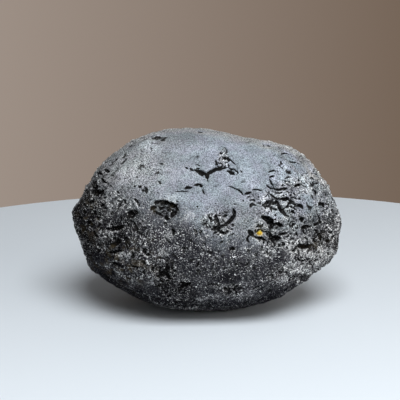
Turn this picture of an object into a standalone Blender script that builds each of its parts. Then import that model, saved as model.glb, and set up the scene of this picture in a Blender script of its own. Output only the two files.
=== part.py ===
"""Tektite: one oval lump of black natural glass, with a crumb of yellow earth lodged in a gash.

Metres, +Z up. The stone lies with its long axis along X and its best face towards -Y.
The origin is under the middle of the stone, on the small flat that it rests on.

The stone starts as a fine ball of triangles. Its points are moved to the oval form, then to
the broad worn flats and the low swells, and last to the dimples of both rough ends and to the
gashes and pits that gas and solution leave in this glass. A Decimate modifier then keeps
triangles where the relief needs them.
"""

import math
import random

import bmesh
import bpy
import numpy as np
from mathutils import Matrix, Vector, noise
from mathutils.bvhtree import BVHTree
from mathutils.kdtree import KDTree

MM = 0.001

# --- Oval form -----------------------------------------------------------------------------
# The contour is drawn on the face plane, which leans back until its normal rises this far.
FACE_RISE = math.radians(15)
FACE_CENTRE = Vector((-0.3, 0.9, 23.2)) * MM
# Radius from the face centre in mm, anticlockwise from +X, one every 15 degrees.
CONTOUR = (
    35.8, 33.0, 30.6, 28.8, 24.8, 23.4, 24.0, 25.0, 26.4, 28.8, 30.8, 32.6,
    35.2, 33.2, 32.6, 28.8, 26.4, 24.8, 24.2, 24.6, 26.0, 28.8, 31.2, 34.8,
)
FRONT_DEPTH = 27.5 * MM
BACK_DEPTH = 25.5 * MM

# --- Broad worn flats: azimuth and elevation they face (degrees), distance from the centre (mm)
# Azimuth 0 faces -Y and 90 faces +X.
FLATS = {
    "brow": (-4, 46, 22.9),
    "apron": (4, -9, 24.8),
    "left_end": (-52, 12, 30.8),
    "right_end": (50, -4, 30.8),
    "left_keel": (-46, -42, 26.6),
    "back": (176, 10, 23.4),
    "back_left": (232, 34, 28.0),
    "back_right": (130, -14, 29.8),
    "crown": (150, 68, 23.4),
}
FLAT_EDGE = 1.0 * MM  # how softly a flat runs out into the round

# --- Low swells ----------------------------------------------------------------------------
SWELL_PITCH = 15 * MM
SWELL_HEIGHT = 0.6 * MM
RIPPLE_PITCH = 4.5 * MM
RIPPLE_HEIGHT = 0.18 * MM

# --- Dimples of the two rough ends ---------------------------------------------------------
# Distances run from the face centre along X: smooth inside the first, all rough past the second.
LEFT_ROUGH = (-14.0 * MM, -24.0 * MM)
RIGHT_ROUGH = (14.0 * MM, 24.0 * MM)
DIMPLE_PITCH = 3.6 * MM
DIMPLE_DEPTH = 1.25 * MM
DIMPLE_WANDER = 1.2 * MM
DIMPLE_REACH = 0.8  # radius of a dent, as a share of the pitch
DIMPLE_LEAST = 0.5  # the shallowest dent, as a share of the deepest
WANDER_FINENESS = 1.7  # turns of the wander in one pitch
WANDER_SEED = 29
DEPTH_DRAW = 7.3  # sets which dents come out deep and which shallow

# --- Setting out of the front face ---------------------------------------------------------
# Its marks are drawn on the face plane and thrown onto the stone from this point in front of it:
# right, up and out from the face centre, in mm.
SETTING_OUT = (-1.6, 5.0, 400.0)

# --- Gashes of the front face: path (right and up from the face centre), width and depth, in mm
GASHES = (
    # the forked gash high on the brow, and the marks around it
    (((-3.2, 13.2), (-0.3, 11.4), (1.8, 12.8), (5.2, 13.5)), 1.3, 1.1),
    (((0.1, 11.6), (0.4, 10.2)), 1.0, 0.8),
    (((-5.8, 13.4), (-3.6, 13.3)), 0.8, 0.4),
    (((5.8, 13.4), (7.1, 12.0), (9.2, 12.3)), 1.2, 0.8),
    (((3.9, 18.4), (4.2, 16.9), (5.6, 15.6)), 1.3, 0.9),
    (((6.3, 15.7), (7.9, 14.4)), 0.9, 0.5),
    # the broken line below it
    (((-8.1, 7.3), (-5.6, 7.9), (-3.7, 8.4)), 1.1, 0.7),
    (((-3.1, 8.9), (-1.0, 8.6), (-0.3, 6.8)), 1.2, 0.8),
    (((5.8, 8.7), (7.9, 7.9), (9.7, 6.5), (11.8, 7.3)), 1.1, 0.9),
    (((12.1, 7.8), (13.4, 8.3), (14.8, 7.6)), 1.0, 0.6),
    (((11.5, 5.2), (12.8, 5.0)), 0.9, 0.5),
    # the arcs of the right shoulder
    (((16.4, 12.1), (17.6, 12.9), (18.9, 12.5)), 1.0, 0.7),
    (((17.3, 10.9), (17.5, 8.4)), 1.2, 0.9),
    (((15.5, 8.7), (18.1, 7.8)), 1.3, 0.8),
    (((20.4, 9.9), (21.6, 10.7), (22.6, 10.3)), 0.9, 0.6),
    (((22.8, 8.3), (24.4, 9.0), (26.0, 8.5)), 1.2, 1.0),
    (((27.2, 9.6), (28.5, 8.4), (29.6, 6.6)), 1.4, 0.9),
    (((19.6, 17.2), (20.8, 17.7), (22.2, 17.2)), 0.9, 0.6),
    (((21.5, 15.0), (23.6, 14.8), (25.3, 14.0)), 1.0, 0.8),
    (((24.1, 16.8), (25.9, 15.4)), 0.9, 0.6),
    # the torn ground between the shoulder and the right end
    (((15.2, 3.3), (16.8, 4.6), (18.6, 4.9), (22.0, 5.0)), 1.3, 1.0),
    (((19.1, 3.7), (21.5, 0.4)), 1.4, 1.1),
    (((22.0, 4.3), (25.4, 2.8)), 1.3, 1.0),
    (((14.7, 0.7), (16.8, -0.4), (17.7, -1.9), (20.2, -1.6)), 1.9, 1.5),
    # the gash that holds the crumb of earth
    (((11.3, -3.0), (12.7, -4.1), (14.9, -5.1), (18.1, -4.7), (20.6, -4.9)), 1.5, 1.2),
    # marks low on the face
    (((-13.4, -11.2), (-12.6, -13.6), (-10.7, -14.7)), 1.9, 1.1),
    (((-6.9, -17.9), (-5.4, -17.0), (-4.2, -17.0)), 1.5, 1.0),
    (((5.8, -18.9), (6.9, -18.6), (7.9, -17.7)), 1.4, 0.8),
    (((12.4, -17.9), (14.0, -17.6)), 1.1, 0.6),
    (((-8.9, -1.6), (-8.4, -3.2), (-8.1, -4.6)), 1.3, 0.8),
    (((16.4, -8.4), (16.6, -9.8), (17.3, -11.4)), 1.3, 0.8),
    (((18.2, -15.0), (19.8, -15.8)), 1.4, 0.8),
    (((-22.2, -12.6), (-20.4, -12.0), (-18.2, -12.2)), 1.5, 1.0),
    # small crescents left of the middle
    (((-17.6, 8.3), (-17.0, 9.2), (-16.2, 8.6)), 0.9, 0.6),
    (((-15.9, 8.4), (-15.5, 6.6)), 1.1, 0.8),
    (((-19.4, 4.7), (-17.6, 4.3), (-16.9, 2.6)), 1.0, 0.7),
)

# --- Open pits of the front face: right, up, half length, half height, turn, depth (mm, degrees)
PITS = (
    (3.6, -0.2, 4.1, 2.0, 32, 1.1),
    (-10.8, 2.7, 3.7, 2.3, -22, 1.5),
    (-19.2, 1.5, 1.9, 1.3, 30, 1.3),
    (-27.6, 7.2, 2.0, 1.4, 60, 1.2),
    (-25.2, 3.6, 1.5, 2.3, 10, 1.2),
    (-30.2, 1.6, 1.4, 2.2, 0, 0.9),
    (-21.8, -1.4, 3.2, 1.5, 12, 1.4),
    (-24.0, -5.4, 2.2, 1.6, -30, 1.2),
    (-20.2, -7.6, 1.8, 1.3, 20, 1.0),
    (-27.2, -8.8, 1.8, 1.2, 0, 1.0),
    (-22.4, -11.2, 2.3, 1.3, 15, 1.1),
    (25.6, -0.9, 1.8, 1.2, -20, 1.2),
    (26.8, -3.0, 1.5, 1.0, 30, 0.9),
    (29.6, -0.6, 1.3, 1.5, 0, 1.1),
    (30.4, 3.9, 1.2, 1.4, 0, 1.0),
    (31.6, -5.6, 1.1, 1.4, 0, 1.0),
    (27.4, -6.9, 1.9, 1.1, -15, 1.1),
    (23.6, -9.4, 1.5, 1.0, 25, 0.8),
    (-10.8, -5.6, 1.3, 1.0, 40, 0.7),
    (-5.5, -8.2, 1.0, 0.9, 0, 0.6),
    (6.8, -8.1, 1.2, 0.9, -30, 0.6),
    (-15.4, -8.8, 1.6, 1.2, 15, 0.8),
    (-2.4, -14.4, 1.2, 1.0, 0, 0.6),
    (13.2, -12.8, 1.3, 1.0, 35, 0.6),
)
BUMP = (-4.7, 1.3, 1.6, 0.45)  # a low boss beside the middle: right, up, radius, height (mm)

STEEPNESS = 1.7  # 1 for a round bowl; more for a steep wall and a flat floor
GASH_ENDS = 0.12  # share of its arched profile that a gash leaves off at each end
PIT_DENTS = (-1.0, -0.5, 0.0, 0.5, 1.0)  # where a pit's dents lie, from its lower to its upper end
PIT_SLOPE = 0.2  # how much deeper than its middle a pit's upper end is

# --- The same relief, scattered over the top, the back and the underside --------------------
SCATTER_SEED = 41
SCATTERED_GASHES = 64
SCATTERED_PITS = 46
GASH_BOW = (0.15, 0.5)  # least and most: rise of the bow, as a share of half the length
GASH_HALF = (0.03, 0.075)  # half the length, as an angle at the stone's centre (radians)
GASH_WIDTH = (1.0 * MM, 1.7 * MM)
GASH_DEPTH = (0.6 * MM, 1.1 * MM)
PIT_RADIUS = (0.9 * MM, 2.3 * MM)
PIT_DEPTH = (0.5 * MM, 1.2 * MM)
FACE_REACH = math.radians(62)  # nothing is scattered this near to the middle of the face
REST_REACH = math.radians(30)  # nor this near to straight down, where the stone rests

# --- Crumb of earth: right and up on the face, half sizes (mm) ------------------------------
CRUMB_PLACE = (14.0, -3.6)
CRUMB_HALF = (1.0, 0.8, 0.75)
CRUMB_SOCKET = 1.65 * MM  # radius of the hollow that it lies in
CRUMB_SOCKET_DEPTH = 1.1 * MM
CRUMB_GAP = 0.3 * MM
CRUMB_LUMPS = 0.22  # height of its lumps, as a share of its radius
CRUMB_LUMP_PITCH = 0.9  # in radii
CRUMB_LUMP_DRAW = 3.1  # sets where the lumps come

# --- Finishes: colour and roughness ---------------------------------------------------------
BLACK_GLASS = ((0.045, 0.046, 0.052), 0.45)
YELLOW_EARTH = ((0.72, 0.47, 0.10), 0.9)

# --- Fineness ------------------------------------------------------------------------------
GROUND_SNAP = 0.04 * MM  # points this near to the ground are set level with it
BALL_SUBDIVISIONS = 8
CRUMB_SUBDIVISIONS = 3
STONE_TRIANGLES = 9300
STROKE_STEP = 0.25 * MM
OUTSIDE = 60 * MM  # further from the stone's centre than any part of it


# --- Places on the stone ---------------------------------------------------------------------


def lean():
    """Turns the upright face into the leaning one."""
    return Matrix.Rotation(-FACE_RISE, 3, "X")


def face_point(right, up, out=0.0):
    """Point right and up on the face plane, in mm, and some way out in front of it."""
    return FACE_CENTRE + lean() @ Vector((right, -out, up)) * MM


def on_face(skin, right, up):
    """Where the stone's surface hides that point of the face plane from the setting-out point."""
    eye = face_point(*SETTING_OUT)
    return skin.ray_cast(eye, (face_point(right, up) - eye).normalized())[0]


def on_side(skin, direction):
    """The stone's surface in a direction from its centre."""
    return skin.ray_cast(FACE_CENTRE + direction * OUTSIDE, -direction)[0]


def facing(azimuth, elevation):
    """Unit vector that faces that way, both angles in degrees."""
    a = math.radians(azimuth)
    e = math.radians(elevation)
    return np.array((math.sin(a) * math.cos(e), -math.cos(a) * math.cos(e), math.sin(e)))


# --- Mesh points as arrays -------------------------------------------------------------------


def points_of(mesh):
    points = np.empty(len(mesh.vertices) * 3, np.float32)
    mesh.vertices.foreach_get("co", points)
    return points.reshape(-1, 3).astype(float)


def normals_of(mesh):
    normals = np.empty(len(mesh.vertices) * 3, np.float32)
    mesh.vertex_normals.foreach_get("vector", normals)
    return normals.reshape(-1, 3).astype(float)


def move_points(mesh, points):
    mesh.vertices.foreach_set("co", points.astype(np.float32).ravel())
    mesh.update()


def ball_mesh(name, subdivisions):
    mesh = bpy.data.meshes.new(name)
    shape = bmesh.new()
    bmesh.ops.create_icosphere(shape, subdivisions=subdivisions, radius=1.0)
    shape.to_mesh(mesh)
    shape.free()
    return mesh


def skin_of(mesh):
    """Tree of the mesh's faces, for finding places on it."""
    points = [vertex.co.copy() for vertex in mesh.vertices]
    faces = [tuple(face.vertices) for face in mesh.polygons]
    return BVHTree.FromPolygons(points, faces)


# --- The bare form ---------------------------------------------------------------------------


def contour_radius(angle):
    """Radius of the contour at each angle, on a smooth closed curve through CONTOUR."""
    step = 2 * math.pi / len(CONTOUR)
    place = np.mod(angle, 2 * math.pi) / step
    first = np.floor(place).astype(int)
    t = place - first
    before, start, end, after = (
        np.take(CONTOUR, first + shift, mode="wrap") for shift in (-1, 0, 1, 2)
    )
    return MM * 0.5 * (
        2 * start
        + (end - before) * t
        + (2 * before - 5 * start + 4 * end - after) * t**2
        + (3 * (start - end) + after - before) * t**3
    )


def oval_form(ball):
    """Points of the oval stone for the points of a unit ball."""
    depth = np.where(ball[:, 1] < 0, FRONT_DEPTH, BACK_DEPTH)
    radius = contour_radius(np.arctan2(ball[:, 2], ball[:, 0]))
    upright = np.stack((ball[:, 0] * radius, ball[:, 1] * depth, ball[:, 2] * radius), axis=1)
    return upright @ np.array(lean()).T + np.array(FACE_CENTRE)


def wear_flats(points):
    """Press the points back to each flat's plane, with a soft rim."""
    centre = np.array(FACE_CENTRE)
    for azimuth, elevation, distance in FLATS.values():
        normal = facing(azimuth, elevation)
        proud = (points - centre) @ normal - distance * MM
        pressed = FLAT_EDGE * np.logaddexp(0, proud / FLAT_EDGE)
        points = points - pressed[:, None] * normal
    return points


def noise_at(points, pitch):
    """Smooth noise between about -1 and 1, one lump per pitch."""
    return np.array([noise.noise(Vector(point)) for point in points / pitch])


def form_stone(mesh):
    """The bare form, before any pit or gash."""
    points = wear_flats(oval_form(points_of(mesh)))
    move_points(mesh, points)
    rise = SWELL_HEIGHT * noise_at(points, SWELL_PITCH)
    rise += RIPPLE_HEIGHT * noise_at(points, RIPPLE_PITCH)
    move_points(mesh, points + rise[:, None] * normals_of(mesh))


# --- Relief: every mark is a row of samples (place, half width, depth) -----------------------


def stroke(places, width, depth):
    """Samples along a path on the surface. A gash thins out towards its two ends."""
    samples = []
    lengths = [(b - a).length for a, b in zip(places, places[1:])]
    whole = sum(lengths)
    run = 0.0
    for start, end, length in zip(places, places[1:], lengths):
        steps = max(1, round(length / STROKE_STEP))
        for i in range(steps + 1):
            share = (run + length * i / steps) / whole
            body = math.sin(math.pi * (GASH_ENDS + (1 - 2 * GASH_ENDS) * share))
            samples.append((start.lerp(end, i / steps), width / 2 * body, depth * body))
        run += length
    return samples


def front_gashes(skin):
    samples = []
    for path, width, depth in GASHES:
        places = [on_face(skin, right, up) for right, up in path]
        samples += stroke(places, width * MM, depth * MM)
    return samples


def front_pits(skin):
    """Each pit is a bundle of round dents along its length, deepest at its upper end."""
    samples = []
    for right, up, half_length, half_height, turn, depth in PITS:
        along = Vector((math.cos(math.radians(turn)), math.sin(math.radians(turn))))
        free = max(half_length - half_height, 0.0)
        for share in PIT_DENTS:
            place = Vector((right, up)) + along * free * share
            dent = depth * (1 - PIT_SLOPE + PIT_SLOPE * share)
            samples.append((on_face(skin, *place), half_height * MM, dent * MM))
    return samples


def random_direction(rng):
    """A direction from the centre that points neither into the front face nor at the ground."""
    towards_face = lean() @ Vector((0, -1, 0))
    down = Vector((0, 0, -1))
    while True:
        direction = Vector([rng.gauss(0, 1) for _ in range(3)]).normalized()
        if direction.angle(towards_face) > FACE_REACH and direction.angle(down) > REST_REACH:
            return direction


def scattered_marks(skin):
    """Short bowed gashes and round pits over the sides that the face list doesn't cover."""
    rng = random.Random(SCATTER_SEED)
    samples = []
    for _ in range(SCATTERED_GASHES):
        middle = random_direction(rng)
        tangent = middle.orthogonal().normalized()
        tangent.rotate(Matrix.Rotation(rng.uniform(0, math.tau), 3, middle))
        bow = middle.cross(tangent) * rng.uniform(*GASH_BOW)
        half = rng.uniform(*GASH_HALF)
        arc = [middle + (tangent * s + bow * (1 - s * s)) * half for s in (-1.0, 0.0, 1.0)]
        places = [on_side(skin, direction.normalized()) for direction in arc]
        samples += stroke(places, rng.uniform(*GASH_WIDTH), rng.uniform(*GASH_DEPTH))
    for _ in range(SCATTERED_PITS):
        place = on_side(skin, random_direction(rng))
        samples.append((place, rng.uniform(*PIT_RADIUS), rng.uniform(*PIT_DEPTH)))
    return samples


def cut_depths(points, samples):
    """How far in each point goes: the deepest of the marks that reach it."""
    tree = KDTree(len(points))
    for index, point in enumerate(points):
        tree.insert(point, index)
    tree.balance()
    depths = np.zeros(len(points))
    for place, half_width, depth in samples:
        for _, index, distance in tree.find_range(place, half_width):
            cut = depth * min(1.0, STEEPNESS * (1 - (distance / half_width) ** 2))
            depths[index] = max(depths[index], cut)
    return depths


def rough_share(points):
    """0 on the smooth middle of the stone, rising to 1 on its two ends."""
    x = points[:, 0] - FACE_CENTRE.x
    left = (x - LEFT_ROUGH[0]) / (LEFT_ROUGH[1] - LEFT_ROUGH[0])
    right = (x - RIGHT_ROUGH[0]) / (RIGHT_ROUGH[1] - RIGHT_ROUGH[0])
    share = np.clip(np.maximum(left, right), 0, 1)
    return share * share * (3 - 2 * share)


def dimple_depths(points):
    """Round dents side by side, each at its own place and of its own depth."""
    noise.seed_set(WANDER_SEED)
    share = rough_share(points)
    depths = np.zeros(len(points))
    for index in np.flatnonzero(share):
        place = Vector(points[index]) / DIMPLE_PITCH
        wander = noise.noise_vector(place * WANDER_FINENESS) * (DIMPLE_WANDER / DIMPLE_PITCH)
        distances, centres = noise.voronoi(place + wander)
        own = DIMPLE_LEAST + (1 - DIMPLE_LEAST) * noise.cell(centres[0] * DEPTH_DRAW)
        dent = max(0.0, 1 - (distances[0] / DIMPLE_REACH) ** 2)
        depths[index] = DIMPLE_DEPTH * own * dent * share[index]
    return depths


def raise_boss(mesh, skin):
    right, up, radius, height = BUMP
    points = points_of(mesh)
    distance = np.linalg.norm(points - np.array(on_face(skin, right, up)), axis=1) / (radius * MM)
    rise = height * MM * np.clip(1 - distance**2, 0, 1)
    move_points(mesh, points + rise[:, None] * normals_of(mesh))


def carve(mesh, skin):
    """Cut the dimples, gashes and pits into the bare form."""
    points = points_of(mesh)
    samples = front_gashes(skin) + front_pits(skin) + scattered_marks(skin)
    samples.append((on_face(skin, *CRUMB_PLACE), CRUMB_SOCKET, CRUMB_SOCKET_DEPTH))
    depths = np.maximum(cut_depths(points, samples), dimple_depths(points))
    move_points(mesh, points - depths[:, None] * normals_of(mesh))


# --- Objects ---------------------------------------------------------------------------------


def material(name, colour, roughness):
    made = bpy.data.materials.new(name)
    made.use_nodes = True
    shader = made.node_tree.nodes["Principled BSDF"]
    shader.inputs["Base Color"].default_value = (*colour, 1.0)
    shader.inputs["Roughness"].default_value = roughness
    shader.inputs["Metallic"].default_value = 0.0
    return made


def add_object(name, mesh, finish):
    mesh.materials.append(finish)
    mesh.shade_smooth()
    thing = bpy.data.objects.new(name, mesh)
    bpy.context.scene.collection.objects.link(thing)
    return thing


def thinned(mesh, triangles):
    """Copy of the mesh with so many triangles, kept where the relief needs them."""
    thing = bpy.data.objects.new("thinning", mesh)
    bpy.context.scene.collection.objects.link(thing)
    decimate = thing.modifiers.new("Decimate", "DECIMATE")
    decimate.ratio = triangles / len(mesh.polygons)
    scene_now = bpy.context.evaluated_depsgraph_get()
    result = bpy.data.meshes.new_from_object(thing.evaluated_get(scene_now))
    bpy.data.objects.remove(thing)
    bpy.data.meshes.remove(mesh)
    return result


def level_underside(mesh, reach):
    """Set every point that is lower than the reach level with the ground: the resting flat."""
    points = points_of(mesh)
    points[points[:, 2] < reach, 2] = 0.0
    move_points(mesh, points)


def build_tektite():
    mesh = ball_mesh("tektite", BALL_SUBDIVISIONS)
    form_stone(mesh)
    skin = skin_of(mesh)
    raise_boss(mesh, skin)
    carve(mesh, skin)
    level_underside(mesh, 0.0)
    mesh = thinned(mesh, STONE_TRIANGLES)
    mesh.name = "tektite"
    level_underside(mesh, GROUND_SNAP)
    add_object("tektite", mesh, material("black_glass", *BLACK_GLASS))
    return skin


def build_lodged_crumb(skin):
    """The crumb lies in its hollow, clear of the stone by CRUMB_GAP."""
    mesh = ball_mesh("lodged_crumb", CRUMB_SUBDIVISIONS)
    ball = points_of(mesh)
    lumps = 1 + CRUMB_LUMPS * noise_at(ball + CRUMB_LUMP_DRAW, CRUMB_LUMP_PITCH)
    lumpy = ball * lumps[:, None] * np.array(CRUMB_HALF) * MM
    floor = CRUMB_SOCKET_DEPTH - CRUMB_GAP - CRUMB_HALF[1] * MM
    centre = on_face(skin, *CRUMB_PLACE) + lean() @ Vector((0, floor, 0))
    move_points(mesh, lumpy @ np.array(lean()).T + np.array(centre))
    add_object("lodged_crumb", mesh, material("yellow_earth", *YELLOW_EARTH))


def main():
    for thing in list(bpy.data.objects):
        bpy.data.objects.remove(thing)
    build_lodged_crumb(build_tektite())


if __name__ == "__main__":
    main()
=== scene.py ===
"""Tektite: the dressed stone and its crumb of earth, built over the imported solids.

Metres, +Z up. The stone lies with its long axis along X and its best face towards -Y.
"""

import math
import random

import bpy
import numpy as np
from mathutils import Matrix, Vector, noise
from mathutils.kdtree import KDTree


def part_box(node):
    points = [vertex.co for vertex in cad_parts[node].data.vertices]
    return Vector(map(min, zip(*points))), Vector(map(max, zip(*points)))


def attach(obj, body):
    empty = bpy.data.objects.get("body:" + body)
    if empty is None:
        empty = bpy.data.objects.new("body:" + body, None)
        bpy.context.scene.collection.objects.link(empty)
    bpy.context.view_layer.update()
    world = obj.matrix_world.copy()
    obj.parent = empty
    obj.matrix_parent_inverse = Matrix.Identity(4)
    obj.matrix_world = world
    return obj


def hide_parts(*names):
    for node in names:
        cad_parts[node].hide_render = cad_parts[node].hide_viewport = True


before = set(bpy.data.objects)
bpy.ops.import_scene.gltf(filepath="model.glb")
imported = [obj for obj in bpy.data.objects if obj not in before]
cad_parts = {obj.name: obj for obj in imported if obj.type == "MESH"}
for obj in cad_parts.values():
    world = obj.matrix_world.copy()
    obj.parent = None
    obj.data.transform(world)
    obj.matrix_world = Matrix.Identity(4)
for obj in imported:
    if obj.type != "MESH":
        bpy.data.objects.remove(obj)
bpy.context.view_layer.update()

bl_info = {
    "name": "Tektite",
    "version": (1, 0, 0),
    "blender": (4, 5, 0),
    "location": "3D View > Sidebar > Tektite",
    "description": "A lump of pitted black natural glass with a crumb of earth in one gash",
    "category": "Object",
}

MM = 0.001

# --- Setting out of the front face ---------------------------------------------------------
FACE_RISE = math.radians(15)
FACE_CENTRE = Vector((-0.3, 0.9, 23.2)) * MM
SETTING_OUT = (-1.6, 5.0, 400.0)  # right, up and out from the face centre, in mm
RIM_PULL = 0.01  # a mark that misses the stone is drawn in by this share at a time
RIM_PULLS = 8  # and this often at most

# --- Fineness ------------------------------------------------------------------------------
GUIDE_VOXEL = 0.7 * MM
GUIDE_PASSES = 7  # of smoothing, and how strong each is
GUIDE_FACTOR = 0.5
STONE_CUTS = 9  # how finely the ball that becomes the stone is divided
CRUMB_CUTS = 5
STONE_TRIANGLES = 196000
SEED = 23  # of the marks thrown at random, and of the bends of the dents
MERGE_DISTANCE = 1e-6  # corners nearer to each other than this become one, in metres
SUNK_PASSES = 60  # how far round a point its hollow is looked for
PORE_PASSES = 4  # and its pore
MEAN_STEP = 0.6  # how much of its neighbours a point takes up in one pass
GROUP_LEVELS = 24  # steps of the weight of a vertex group

# --- Lumps, crumpled ground and grain ------------------------------------------------------
LUMP_PITCH = 2.4 * MM
CRUMPLE_PITCH = 1.5 * MM
CRUMPLE_MIDDLE = 0.4  # value of the texture that leaves the surface where it is
GRAIN_PITCH = 0.22 * MM
LUMPY_LEAST = 0.35  # share of the lumps that the smooth ground keeps
LUMPY_MORE = 0.65
GRAINY_FADE = (0.2, 0.8)
ROUGH_RISE = 0.25 * MM  # the rough ground stands this much proud before its dents are cut
EARTH_PITCH = 0.7 * MM
CRUMB_CHIP = 0.85  # how flat the broken sides of the crumb are

# --- Dents of the rough ground: pitch and depth in mm, and shift ---------------------------
DENTS = ((2.9, 0.6, 0.0), (1.25, 0.26, 4.4))
DENT_WARPS = 1.9  # bends to each dent
DENT_BEND = 0.8  # how far they bend it, in pitches
DENT_REACH = 0.75  # half width of a dent, in pitches
DENT_LEAST = 0.55  # the shallowest dent
DENT_MORE = 0.45  # and how much deeper the deepest is
DENT_SHARE = 0.02  # ground with less than this share has no dent
CELL_SPREAD = 5.7  # sets neighbouring dents apart in depth

# --- Shape of a cut mark, in half widths from its middle -----------------------------------
GASH_SPREAD = 1.35  # a gash is cut this much wider than its dark part
RIDGE_SPREAD = 1.4  # and a ridge raised this much wider than its pale part
WALL_STEEPNESS = 2.2
LIP_RISE = 0.09  # height of the lip as a share of the depth
LIP_BAND = (1.15, 0.4)  # where the lip is highest, and how far it reaches
EDGE_WEAR_AND_HIGHLIGHT = 0.45  # how far the edges of a gash are painted pale, partly worn and partly a painted highlight
EDGE_BAND = (1.3, 0.45)
BODY_START = 0.06  # a mark swells along its path as this stretch of a half wave does
BODY_RUN = 0.88
RAGGED = ((0.28, 0.9, 3.3), (0.18, 0.4, 0.0))  # waves of the ragged edge
CORNER_CUTS = 2  # how often the corners of a path are cut
CORNER_CUT = 0.25  # and how far from the corner, as a share of each run
LEAST_RUN = 1e-9  # keeps two equal places from dividing by nothing
GASH_BARE_AND_SHADED = 2  # a gash is darkened in this proportion to its depth, partly plain black glass and partly painted shade

# --- Marks thrown at random, in mm ---------------------------------------------------------
CRESCENTS = 900
CRESCENT_HALF = (0.5, 1.7)
CRESCENT_BOW = (0.1, 0.7)
CRESCENT_WIDTH = (0.45, 1.0)
CRESCENT_DEPTH = (0.6, 1.0)
CRESCENT_WIDER = (1.0, 1.0, 1.5)  # one in three is half as wide again
CRESCENT_POINTS = (-1, -0.5, 0, 0.5, 1)
SMOOTH_CHANCE = 0.015  # of a crescent on smooth ground, where rough ground has about 1
ROUGH_POWER = 1.5
FRONT_LESS = 0.65  # share of the crescents that the front goes without
TORN_HALF = (0.2, 0.7)
TORN_WIDTH = (0.3, 0.75)
TORN_DEPTH = (0.5, 0.9)
CUTS_EACH = 2.4  # short cuts to each square mm of torn ground, roughly
# How far the random cuts are darkened: partly plain black glass, partly painted shade.
CUT_BARE_AND_SHADED = 0.8
PITS = 3000
PIT_WIDTH = (0.3, 0.8)
PIT_DEPTH = (0.25, 0.6)
PIT_LENGTH = 0.05
PIT_LEAST = 0.01  # chance of a pit on smooth ground, where grainy ground has about 1
PIT_FADE = (0.2, 1.0)

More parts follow.
